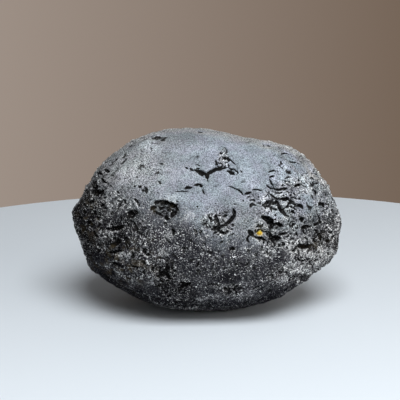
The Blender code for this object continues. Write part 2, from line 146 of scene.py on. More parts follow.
# --- Gashes and pits of the front face -----------------------------------------------------
# Width and depth in mm, then the path: right and up from the face centre, in mm.
GASHES = (
    # forked gash on the brow
    (1.1, 1.0, ((-3.0, 13.0), (-1.8, 12.6), (-0.8, 12.1), (0.3, 11.8))),
    (1.0, 1.0,
     ((-0.3, 11.8), (0.5, 11.9), (1.0, 12.3), (1.6, 12.7), (2.6, 13.1), (3.7, 13.3), (5.2, 13.5))),
    (0.7, 0.8, ((-2.1, 12.3), (-1.3, 11.7), (-0.8, 11.3))),
    (0.6, 0.7, ((1.6, 12.5), (2.4, 12.5))),
    (0.5, 0.7, ((2.9, 13.9), (3.7, 13.8), (4.5, 14.3))),
    (0.9, 0.9, ((-0.1, 11.8), (0.3, 11.3), (0.4, 10.6))),
    (0.3, 0.5, ((0.3, 10.5), (0.5, 9.8))),
    (0.4, 0.5, ((-2.6, 13.4), (-1.6, 13.4))),
    (0.5, 0.6, ((-5.4, 13.8), (-4.7, 13.1))),
    (0.6, 0.7, ((-4.2, 13.4), (-3.4, 12.7))),
    (0.3, 0.5, ((-2.8, 14.2), (-2.1, 14.4), (-1.6, 13.8))),
    (0.3, 0.5, ((5.2, 13.6), (6.3, 13.4), (7.6, 13.1), (8.4, 12.6))),
    (0.9, 0.9, ((5.6, 12.7), (6.6, 12.3), (7.5, 11.7))),
    (0.5, 0.7, ((6.3, 13.3), (7.1, 13.0))),
    (0.4, 0.6, ((7.1, 13.4), (8.1, 12.5), (8.5, 12.1), (7.9, 11.7))),
    (0.3, 0.4, ((9.0, 12.9), (9.5, 12.2))),
    (0.8, 0.3, ((2.5, 15.5), (2.9, 14.6), (2.6, 13.8))),
    (0.4, 0.4, ((5.8, 14.7), (6.0, 13.6))),
    # ring above it
    (0.7, 0.8, ((3.8, 17.6), (4.1, 17.1))),
    (0.6, 0.7, ((4.9, 17.4), (5.1, 17.2))),
    (0.3, 0.5, ((3.0, 18.9), (3.9, 19.0), (4.9, 18.9), (5.4, 18.2), (5.6, 17.4))),
    (0.7, 0.9, ((4.1, 16.8), (4.7, 16.2), (5.5, 15.7))),
    (0.4, 0.5, ((6.0, 16.0), (6.9, 15.1), (7.9, 14.2))),
    (0.3, 0.4, ((5.8, 18.5), (5.2, 17.6), (5.5, 16.8))),
    # broken line left
    (0.4, 0.6, ((-8.0, 7.2), (-6.8, 7.4), (-4.7, 7.2))),
    (0.9, 0.9, ((-5.6, 8.0), (-4.7, 8.4), (-3.7, 8.3))),
    (0.8, 0.9, ((-3.1, 8.9), (-2.4, 9.1), (-1.4, 9.2))),
    (0.7, 0.9, ((-1.4, 9.2), (-1.2, 8.4))),
    (0.4, 0.4, ((-1.0, 7.9), (-0.7, 7.3), (-0.3, 6.5))),
    (0.3, 0.4, ((-11.0, 6.0), (-10.7, 5.8))),
    (0.2, 0.4, ((-6.4, 6.0), (-6.3, 5.8))),
    (0.3, 0.4, ((-2.5, 3.5), (-2.1, 3.1))),
    (0.3, 0.4, ((-7.9, 4.9), (-7.1, 4.5))),
    # broken line right
    (0.5, 0.8, ((5.9, 8.6), (6.8, 8.5), (7.6, 8.1), (8.7, 7.6), (9.4, 7.0), (9.7, 6.4))),
    (0.7, 0.8, ((10.2, 6.6), (10.9, 6.9), (11.8, 7.1))),
    (0.5, 0.7, ((12.1, 7.6), (12.8, 7.9), (13.6, 7.8), (14.8, 7.4))),
    (0.5, 0.7, ((11.4, 4.9), (12.1, 5.2), (12.6, 5.1), (12.8, 4.6))),
    (0.3, 0.3, ((15.5, 7.6), (16.3, 6.8), (16.6, 5.8), (16.6, 4.7))),
    (0.3, 0.4, ((9.6, 5.2), (9.9, 4.6))),
    (0.3, 0.4, ((5.5, 3.9), (6.0, 4.0))),
    (0.3, 0.4, ((7.1, 4.0), (8.1, 3.9))),
    # right shoulder
    (0.6, 0.9, ((16.4, 12.3), (16.9, 12.6), (17.7, 12.8), (18.4, 12.8), (19.0, 12.4))),
    (0.5, 0.7, ((16.7, 11.0), (17.3, 11.2), (17.9, 11.4))),
    (0.6, 0.9, ((16.6, 10.7), (17.0, 10.0), (17.4, 9.2), (17.8, 8.5))),
    (0.5, 0.7, ((20.8, 10.6), (21.4, 11.1), (22.0, 11.2), (22.6, 10.9))),
    (0.3, 0.4, ((20.2, 10.2), (21.0, 9.7))),
    (0.6, 0.7, ((15.9, 8.9), (16.6, 8.4), (17.3, 7.9))),
    (0.8, 0.9, ((17.6, 8.3), (18.4, 7.8), (19.7, 7.9), (21.2, 8.0))),
    (0.4, 0.6, ((19.8, 8.7), (20.3, 9.1), (21.0, 8.7))),
    (0.5, 0.7, ((21.0, 9.2), (21.8, 9.0), (22.4, 8.3))),
    (0.6, 0.9, ((23.0, 8.3), (23.7, 8.8), (24.6, 9.0), (25.4, 8.9), (26.0, 8.3))),
    (0.8, 0.9, ((27.4, 9.7), (27.7, 9.2), (28.1, 8.6))),
    (0.4, 0.6, ((28.4, 9.2), (29.1, 9.4), (29.7, 9.7))),
    (0.8, 0.9, ((28.5, 7.7), (28.8, 6.9), (28.8, 6.2))),
    (0.3, 0.4, ((25.0, 7.0), (25.7, 7.4), (26.2, 7.1))),
    (0.3, 0.4, ((25.8, 7.1), (26.6, 6.5))),
    (0.5, 0.8, ((19.7, 17.0), (20.4, 17.4), (21.2, 17.3), (22.0, 16.9))),
    (0.6, 0.9, ((19.4, 16.3), (20.4, 16.1), (21.6, 15.5))),
    (0.7, 0.9, ((21.8, 15.0), (22.8, 15.1), (23.9, 14.8), (25.2, 14.2))),
    (0.5, 0.7, ((24.4, 16.4), (25.2, 16.7), (25.7, 16.3))),
    (0.6, 0.8, ((25.4, 15.7), (26.0, 15.3))),
    (0.5, 0.5, ((23.4, 13.4), (23.6, 13.1))),
    (0.4, 0.5, ((24.0, 12.7), (24.2, 12.1), (24.1, 11.3))),
    (0.4, 0.4, ((15.0, 19.7), (15.4, 18.8))),
    (0.6, 0.3, ((10.6, 20.1), (11.5, 20.4))),
    # torn ground
    (0.8, 0.9, ((16.7, 6.9), (17.6, 6.2), (18.4, 5.7), (19.4, 5.3))),
    (0.9, 0.9, ((19.4, 5.3), (20.4, 5.2), (21.5, 5.3), (22.5, 4.9))),
    (0.7, 0.8, ((15.7, 3.3), (15.9, 4.2), (16.5, 4.7), (17.4, 4.3))),
    (0.5, 0.6, ((15.0, 3.3), (16.3, 3.4), (17.3, 3.1), (18.0, 2.6))),
    (0.7, 0.7, ((17.0, 3.9), (18.2, 4.3), (19.1, 4.7))),
    (1.3, 1.0, ((18.8, 4.0), (19.7, 2.8), (20.7, 1.7), (21.5, 0.8))),
    (0.8, 0.8, ((21.5, 4.1), (22.5, 4.4), (23.3, 3.8), (24.1, 3.3))),
    (0.8, 0.8, ((23.9, 3.5), (24.9, 3.6), (25.5, 2.8))),
    (0.7, 0.7, ((22.2, 1.6), (22.8, 2.0), (23.3, 1.4))),
    (0.5, 0.6, ((23.0, 6.9), (23.6, 6.2))),
    (0.8, 0.7, ((24.3, 5.8), (24.9, 5.1))),
    (0.5, 0.5, ((17.6, 2.6), (18.7, 2.5))),
    (0.6, 0.5, ((21.1, 3.1), (21.9, 3.4))),
    (0.5, 0.5, ((18.1, 7.1), (19.1, 6.7), (20.2, 7.1))),
    (0.4, 0.5, ((21.0, 7.3), (22.0, 6.9))),
    # deep gash
    (1.4, 1.2, ((14.8, 0.5), (15.7, 0.2), (16.5, -0.3), (17.0, -1.0), (17.5, -2.0))),
    (0.8, 1.0, ((17.4, -1.7), (18.5, -1.3), (19.4, -1.6), (20.2, -1.9))),
    (0.5, 0.6, ((14.4, -2.5), (14.7, -1.7), (15.2, -1.1))),
    (0.5, 0.7, ((16.7, -1.6), (16.6, -2.4))),
    # crumb gash
    (0.9, 1.0, ((11.2, -3.0), (11.8, -3.7), (12.6, -4.5))),
    (0.7, 0.9, ((12.6, -4.5), (13.6, -4.9), (14.7, -5.2), (15.7, -5.6))),
    (0.8, 0.9, ((15.2, -3.4), (16.3, -3.5), (16.8, -4.5), (17.3, -5.2))),
    (1.2, 1.1, ((16.6, -5.2), (17.8, -5.1), (19.3, -5.0))),
    (0.7, 0.8, ((19.1, -4.2), (19.9, -3.9), (21.3, -3.7))),
    (0.5, 0.6, ((19.6, -6.3), (20.2, -6.1), (20.8, -6.7))),
    (0.4, 0.5, ((22.0, -3.9), (22.5, -4.0))),
    (0.5, 0.5, ((17.3, -6.6), (17.4, -7.5))),
    (0.4, 0.5, ((16.3, -5.9), (16.1, -6.8))),
    (0.4, 0.5, ((18.6, -5.9), (18.5, -6.8))),
    # middle pit
    (1.0, 1.0,
     ((7.2, 2.7), (7.4, 1.8), (7.2, 0.8), (6.6, -0.1), (5.8, -0.9), (4.7, -1.6), (3.7, -1.7))),
    (0.9, 0.9, ((3.7, -1.8), (2.6, -2.5), (1.5, -2.7))),
    (0.4, 0.5, ((0.0, -0.6), (0.4, -0.8))),
    (0.6, 0.6, ((0.7, 0.4), (1.5, 0.1), (1.3, -0.9))),
    (0.7, 0.7, ((2.0, -0.4), (2.7, -0.3), (2.4, -1.2))),
    (0.7, 0.6, ((2.8, 1.0), (3.1, 0.8))),
    (0.5, 0.5, ((4.4, 0.7), (5.5, 1.0))),
    (0.7, 0.6, ((3.0, -2.8), (3.9, -3.5), (5.0, -3.8), (5.9, -3.1))),
    (0.8, 0.5, ((6.7, -1.5), (7.3, -1.7))),
    (0.5, 0.5, ((0.1, -2.0), (0.8, -2.2))),
    # left middle pit
    (1.1, 1.0, ((-12.8, 4.1), (-11.7, 4.6), (-10.2, 4.1), (-8.9, 3.7), (-8.0, 3.0), (-7.4, 2.3))),
    (1.1, 0.9, ((-7.9, 2.2), (-8.5, 1.4), (-9.0, 0.6))),
    (0.8, 0.8, ((-13.2, 2.1), (-12.1, 1.5), (-11.3, 0.9))),
    (1.0, 1.0, ((-10.5, 0.9), (-10.1, -0.1))),
    (0.8, 0.8, ((-14.5, 2.5), (-13.8, 3.1), (-13.0, 3.1))),
    (0.5, 0.6, ((-13.5, 4.1), (-12.7, 4.9))),
    (0.7, 0.7, ((-10.2, 2.8), (-9.3, 2.0))),
    (0.6, 0.6, ((-10.9, -0.7), (-10.5, -1.7))),
    (0.6, 0.6, ((-12.3, 3.1), (-11.4, 2.5))),
    # left of the middle
    (0.6, 0.6, ((-18.8, 8.7), (-18.6, 8.4))),
    (0.8, 0.8, ((-17.6, 8.8), (-17.1, 8.3))),
    (0.7, 0.9, ((-16.1, 8.5), (-15.7, 7.9), (-15.6, 6.8))),
    (0.7, 0.6, ((-16.8, 7.5), (-16.1, 7.5))),
    (0.5, 0.7, ((-19.1, 5.4), (-18.3, 5.0), (-17.8, 4.2), (-17.5, 3.4))),
    (0.4, 0.4, ((-12.4, 10.0), (-11.7, 9.1))),
    (0.5, 0.6, ((-23.4, 7.2), (-22.7, 6.7))),
    (0.4, 0.5, ((-23.4, 6.3), (-22.8, 5.8))),
    (0.4, 0.5, ((-23.9, 5.5), (-23.3, 4.9))),
    (0.9, 0.8, ((-22.0, 4.6), (-22.8, 3.7), (-23.2, 2.7), (-23.6, 1.8))),
    (0.5, 0.5, ((-21.7, 5.1), (-20.9, 4.1))),
    (2.2, 1.2, ((-20.3, 0.5), (-19.7, 1.2), (-18.9, 1.9))),
    (0.8, 0.7, ((-18.3, 2.1), (-18.0, 1.3))),
    (0.9, 0.7, ((-25.2, 1.8), (-24.3, 1.4))),
    (0.8, 0.7, ((-22.3, 0.9), (-22.2, -0.3))),
    (1.1, 0.9, ((-26.2, -2.7), (-24.6, -2.5), (-23.3, -2.5), (-22.3, -2.1), (-21.4, -1.7))),
    (0.8, 0.7, ((-19.1, -0.5), (-18.6, -1.6), (-18.2, -2.6), (-17.7, -3.5), (-16.8, -4.2))),
    (1.3, 1.0, ((-23.2, -5.0), (-23.1, -6.0), (-23.9, -6.6), (-25.0, -7.0))),
    (1.4, 0.8, ((-21.5, -4.5), (-20.7, -5.8), (-20.4, -7.6))),
    (0.8, 0.8, ((-25.8, -8.7), (-24.6, -8.7), (-23.1, -8.4), (-21.7, -8.3))),
    (1.1, 1.1, ((-19.4, -8.7), (-19.0, -9.8))),
    (0.6, 0.6, ((-17.6, -8.7), (-17.5, -9.0))),
    (0.9, 0.8, ((-24.9, -11.5), (-23.3, -11.9), (-22.0, -12.5), (-20.9, -12.6))),
    (0.8, 0.7, ((-20.0, -11.3), (-18.9, -12.6), (-17.0, -12.6))),
    (0.7, 0.6, ((-22.5, -13.9), (-21.5, -14.7))),
    # left end
    (2.6, 1.0, ((-29.6, 9.2), (-28.8, 8.4), (-28.3, 7.6))),
    (1.4, 1.1, ((-29.9, 7.1), (-28.3, 6.8), (-26.7, 7.2), (-27.5, 6.2))),
    (0.9, 0.8, ((-30.4, 4.5), (-29.3, 4.1))),
    (0.7, 0.8, ((-28.5, 5.4), (-28.2, 5.2))),
    (1.0, 0.9, ((-27.8, 4.2), (-27.0, 3.4), (-26.1, 2.7))),
    (1.0, 0.9, ((-30.0, 1.2), (-29.0, 1.9))),
    (1.1, 0.8, ((-29.6, -3.3), (-28.3, -4.6))),
    (0.9, 0.8, ((-32.5, 2.6), (-31.5, 1.6))),
    (0.9, 0.8, ((-33.0, 0.5), (-32.0, -0.8))),
    (0.8, 0.8, ((-30.9, -0.5), (-29.6, -1.6))),
    (0.7, 0.7, ((-28.6, 0.8), (-28.1, -0.5))),
    (0.9, 0.7, ((-32.0, -3.4), (-31.2, -5.0))),
    (0.9, 0.7, ((-30.4, -6.3), (-29.4, -8.1))),
    (0.8, 0.7, ((-28.3, -6.3), (-27.3, -7.6))),
    (0.9, 0.7, ((-28.6, -11.3), (-27.5, -12.8))),
    (0.8, 0.6, ((-26.2, -13.9), (-24.9, -14.9))),
    (0.9, 0.7, ((-27.5, 10.7), (-26.2, 9.4))),
    (0.8, 0.6, ((-26.7, 13.1), (-25.4, 12.3))),
    (1.1, 0.8, ((-26.5, 15.0), (-26.0, 15.0))),
    (0.8, 0.7, ((-24.8, 16.6), (-24.1, 16.8))),
    (0.7, 0.6, ((-19.4, 19.7), (-18.4, 20.2))),
    (0.5, 0.4, ((-16.5, 20.9), (-15.2, 21.1))),
    (0.4, 0.3, ((-13.6, 19.8), (-12.3, 19.9))),
    # low on the face
    (0.6, 0.7, ((-8.8, -2.3), (-8.5, -3.3), (-8.5, -4.3))),
    (0.5, 0.6, ((-10.8, -4.9), (-10.2, -5.6), (-9.3, -6.5))),
    (0.7, 0.7, ((-6.4, -8.0), (-5.6, -7.5), (-4.9, -7.9))),
    (0.6, 0.7, ((-6.1, -8.5), (-5.5, -8.7))),
    (0.7, 0.7, ((6.4, -8.2), (6.8, -7.5), (7.3, -8.2))),
    (1.3, 0.9, ((-10.2, -12.1), (-10.0, -12.8), (-10.7, -13.9), (-11.8, -14.7), (-12.6, -15.3))),
    (0.6, 0.6, ((-9.0, -12.7), (-8.7, -13.5))),
    (0.6, 0.6, ((-12.2, -16.0), (-10.6, -17.0), (-9.2, -16.7))),
    (0.6, 0.6, ((-8.7, -16.8), (-7.5, -16.4))),
    (0.6, 0.6, ((-11.8, -17.5), (-10.6, -18.6))),
    (1.0, 1.0, ((-6.8, -18.1), (-5.8, -17.7), (-4.7, -17.2), (-4.0, -16.7))),
    (0.5, 0.5, ((-6.0, -19.1), (-5.2, -18.6))),
    (0.3, 0.4, ((-8.9, -18.4), (-6.8, -18.2))),
    (0.7, 0.8, ((5.2, -19.3), (5.8, -19.6), (6.6, -19.1))),
    (0.7, 0.8, ((7.1, -18.7), (7.8, -17.9), (8.4, -17.3))),
    (0.5, 0.5, ((7.8, -18.9), (8.1, -19.1))),
    (0.6, 0.7, ((12.3, -18.4), (13.1, -17.9), (14.0, -17.8))),
    (0.8, 0.8, ((19.1, -13.8), (20.0, -14.4))),
    (0.6, 0.6, ((18.4, -15.5), (18.9, -16.1))),
    (0.5, 0.5, ((18.0, -16.3), (18.2, -16.8))),
    (0.6, 0.7, ((22.2, -15.5), (23.0, -14.5), (23.7, -14.4))),
    (0.5, 0.6, ((24.5, -14.8), (25.2, -14.4))),
    (0.5, 0.6, ((26.4, -14.7), (27.1, -14.9))),
    (0.5, 0.6, ((25.4, -16.0), (26.1, -15.5))),
    (0.5, 0.5, ((12.1, -20.8), (12.8, -20.6))),
    (0.5, 0.5, ((-16.5, -11.3), (-15.7, -12.3))),
    (0.5, 0.5, ((-0.8, -6.3), (0.0, -6.8))),
    (0.5, 0.5, ((3.7, -6.3), (4.5, -5.8))),
    (0.5, 0.5, ((2.1, -10.2), (2.9, -10.7))),
    (0.6, 0.5, ((10.5, -12.3), (11.3, -11.5))),
    # right end
    (1.1, 1.0, ((29.8, 4.0), (30.4, 4.2), (30.9, 3.4))),
    (1.6, 0.6, ((31.9, 4.0), (32.1, 3.8))),
    (1.0, 0.9, ((24.6, 0.0), (25.4, -0.3), (25.8, 0.3))),
    (1.2, 1.0, ((25.1, -2.3), (26.2, -2.1), (27.2, -2.2))),
    (0.7, 0.8, ((25.4, -2.9), (26.0, -3.8))),
    (0.8, 0.7, ((27.4, 0.6), (27.7, 0.4))),
    (0.7, 0.8, ((29.6, 0.8), (29.9, -0.1))),
    (0.7, 0.7, ((28.1, -1.3), (29.1, -1.5), (29.9, -0.8))),
    (1.1, 0.9, ((28.6, -2.8), (29.6, -3.7), (30.1, -4.7), (30.5, -6.3))),
    (2.2, 0.9, ((31.7, -5.6), (32.0, -5.9))),
    (1.2, 1.0, ((24.1, -6.7), (25.2, -7.3), (26.5, -7.2), (27.3, -7.1), (27.9, -8.0))),
    (1.0, 0.9, ((28.1, -5.2), (28.6, -5.9))),
    (0.7, 0.8, ((32.2, 1.4), (32.8, 0.3), (33.3, -0.8))),
    (0.7, 0.7, ((32.5, -1.0), (33.4, -1.6))),
    (0.7, 0.7, ((33.8, -4.6), (34.1, -5.8), (33.6, -6.9))),
    (0.8, 0.7, ((29.5, -8.5), (29.8, -8.9))),
    (0.7, 0.6, ((31.9, -8.8), (32.4, -9.5))),
    (0.7, 0.6, ((30.9, -11.7), (31.4, -12.3))),
    (0.7, 0.7, ((32.8, 2.4), (33.6, 2.0))),
    (0.7, 0.6, ((27.0, -11.3), (27.8, -10.5))),
    (0.6, 0.6, ((23.9, -10.2), (24.9, -11.0))),
    (0.6, 0.6, ((21.8, -1.8), (22.8, -2.1))),
    (0.6, 0.6, ((23.6, -3.4), (24.1, -4.5))),
    (0.6, 0.6, ((28.3, -11.3), (29.4, -10.5))),
    (0.7, 0.6, ((30.4, -3.1), (31.5, -3.5))),
)


# --- Ridges of the front face, painted pale: partly worn, partly painted highlights --------
# Width in mm, height share, then the path.
RIDGES = (
    (0.6, 1.2, ((-19.1, 5.1), (-18.5, 4.2), (-18.1, 3.4), (-17.7, 2.6))),
    (0.3, 0.5, ((-12.1, 9.7), (-11.3, 8.5))),
    (0.4, 0.4, ((-27.0, -10.2), (-26.2, -12.8), (-24.1, -15.2), (-22.5, -16.5))),
    (0.4, 0.7, ((14.8, -2.6), (15.0, -1.7), (15.4, -0.9))),
    (0.3, 0.7, ((15.7, -2.6), (16.0, -1.6), (16.1, -0.9))),
    (0.3, 0.6, ((16.5, -2.4), (16.7, -1.5))),
    (0.3, 0.5, ((1.6, -3.7), (2.6, -4.4), (3.7, -5.0))),
    (0.3, 0.5, ((6.2, -3.5), (5.7, -4.3), (5.0, -5.0))),
    (0.3, 0.4, ((-3.9, -1.8), (-3.4, -3.4), (-2.7, -5.5))),
    (0.3, 0.4, ((-2.6, -1.8), (-1.9, -3.7), (-1.3, -5.5))),
    (0.3, 0.4, ((-1.0, -2.4), (-0.3, -3.9), (0.6, -5.7))),
    (0.3, 0.6, ((5.8, -13.1), (4.9, -13.3), (3.9, -13.6))),
    (0.3, 0.7, ((10.1, -12.8), (11.0, -13.8), (10.7, -14.9))),
    (0.3, 0.6, ((2.4, -11.3), (2.1, -12.7), (2.8, -14.4))),
    (0.3, 0.5, ((-0.8, -7.1), (0.0, -8.1))),
    (0.3, 0.6, ((10.5, -9.7), (11.4, -10.6))),
    (0.3, 0.5, ((6.8, -11.5), (7.5, -12.2))),
    (0.5, 0.6, ((31.7, -9.4), (30.1, -11.2), (28.3, -12.7), (26.2, -14.3))),
    (0.4, 0.5, ((33.0, -10.0), (31.5, -11.8), (29.1, -13.6), (26.7, -15.4))),
    (0.4, 0.6, ((30.1, -7.3), (28.8, -8.5), (27.5, -9.9))),
    (0.4, 0.6, ((29.4, -6.3), (30.8, -7.5))),
    (0.3, 0.5, ((20.4, -8.7), (22.0, -7.6), (23.6, -6.9))),
    (0.3, 0.6, ((16.0, 2.1), (16.8, 1.4), (17.8, 0.8))),
    (0.3, 0.6, ((10.2, 5.3), (10.6, 6.0), (11.4, 6.3))),
    (0.3, 0.5, ((21.2, 10.0), (22.2, 10.2), (23.2, 9.7))),
    (0.3, 0.5, ((24.4, 7.9), (25.6, 8.1))),
    (0.3, 0.5, ((-23.9, 6.6), (-23.1, 5.9))),
    (0.3, 0.5, ((-24.3, 5.5), (-23.6, 4.8))),
    (0.3, 0.6, ((-21.6, 3.1), (-21.2, 3.9))),
    (0.3, 0.6, ((-32.2, 5.5), (-31.8, 3.8))),
    (0.3, 0.5, ((-22.5, -0.8), (-21.5, -0.8))),
    (0.3, 0.6, ((3.1, 0.1), (4.2, -0.2), (5.0, 0.4))),
    (0.3, 0.5, ((-12.6, 3.1), (-12.1, 2.5))),
    (0.3, 0.5, ((-8.9, 1.6), (-8.5, 2.4))),
    (0.3, 0.5, ((12.8, -5.5), (14.2, -5.9))),
    (0.3, 0.5, ((15.2, -8.1), (15.9, -9.3))),
)
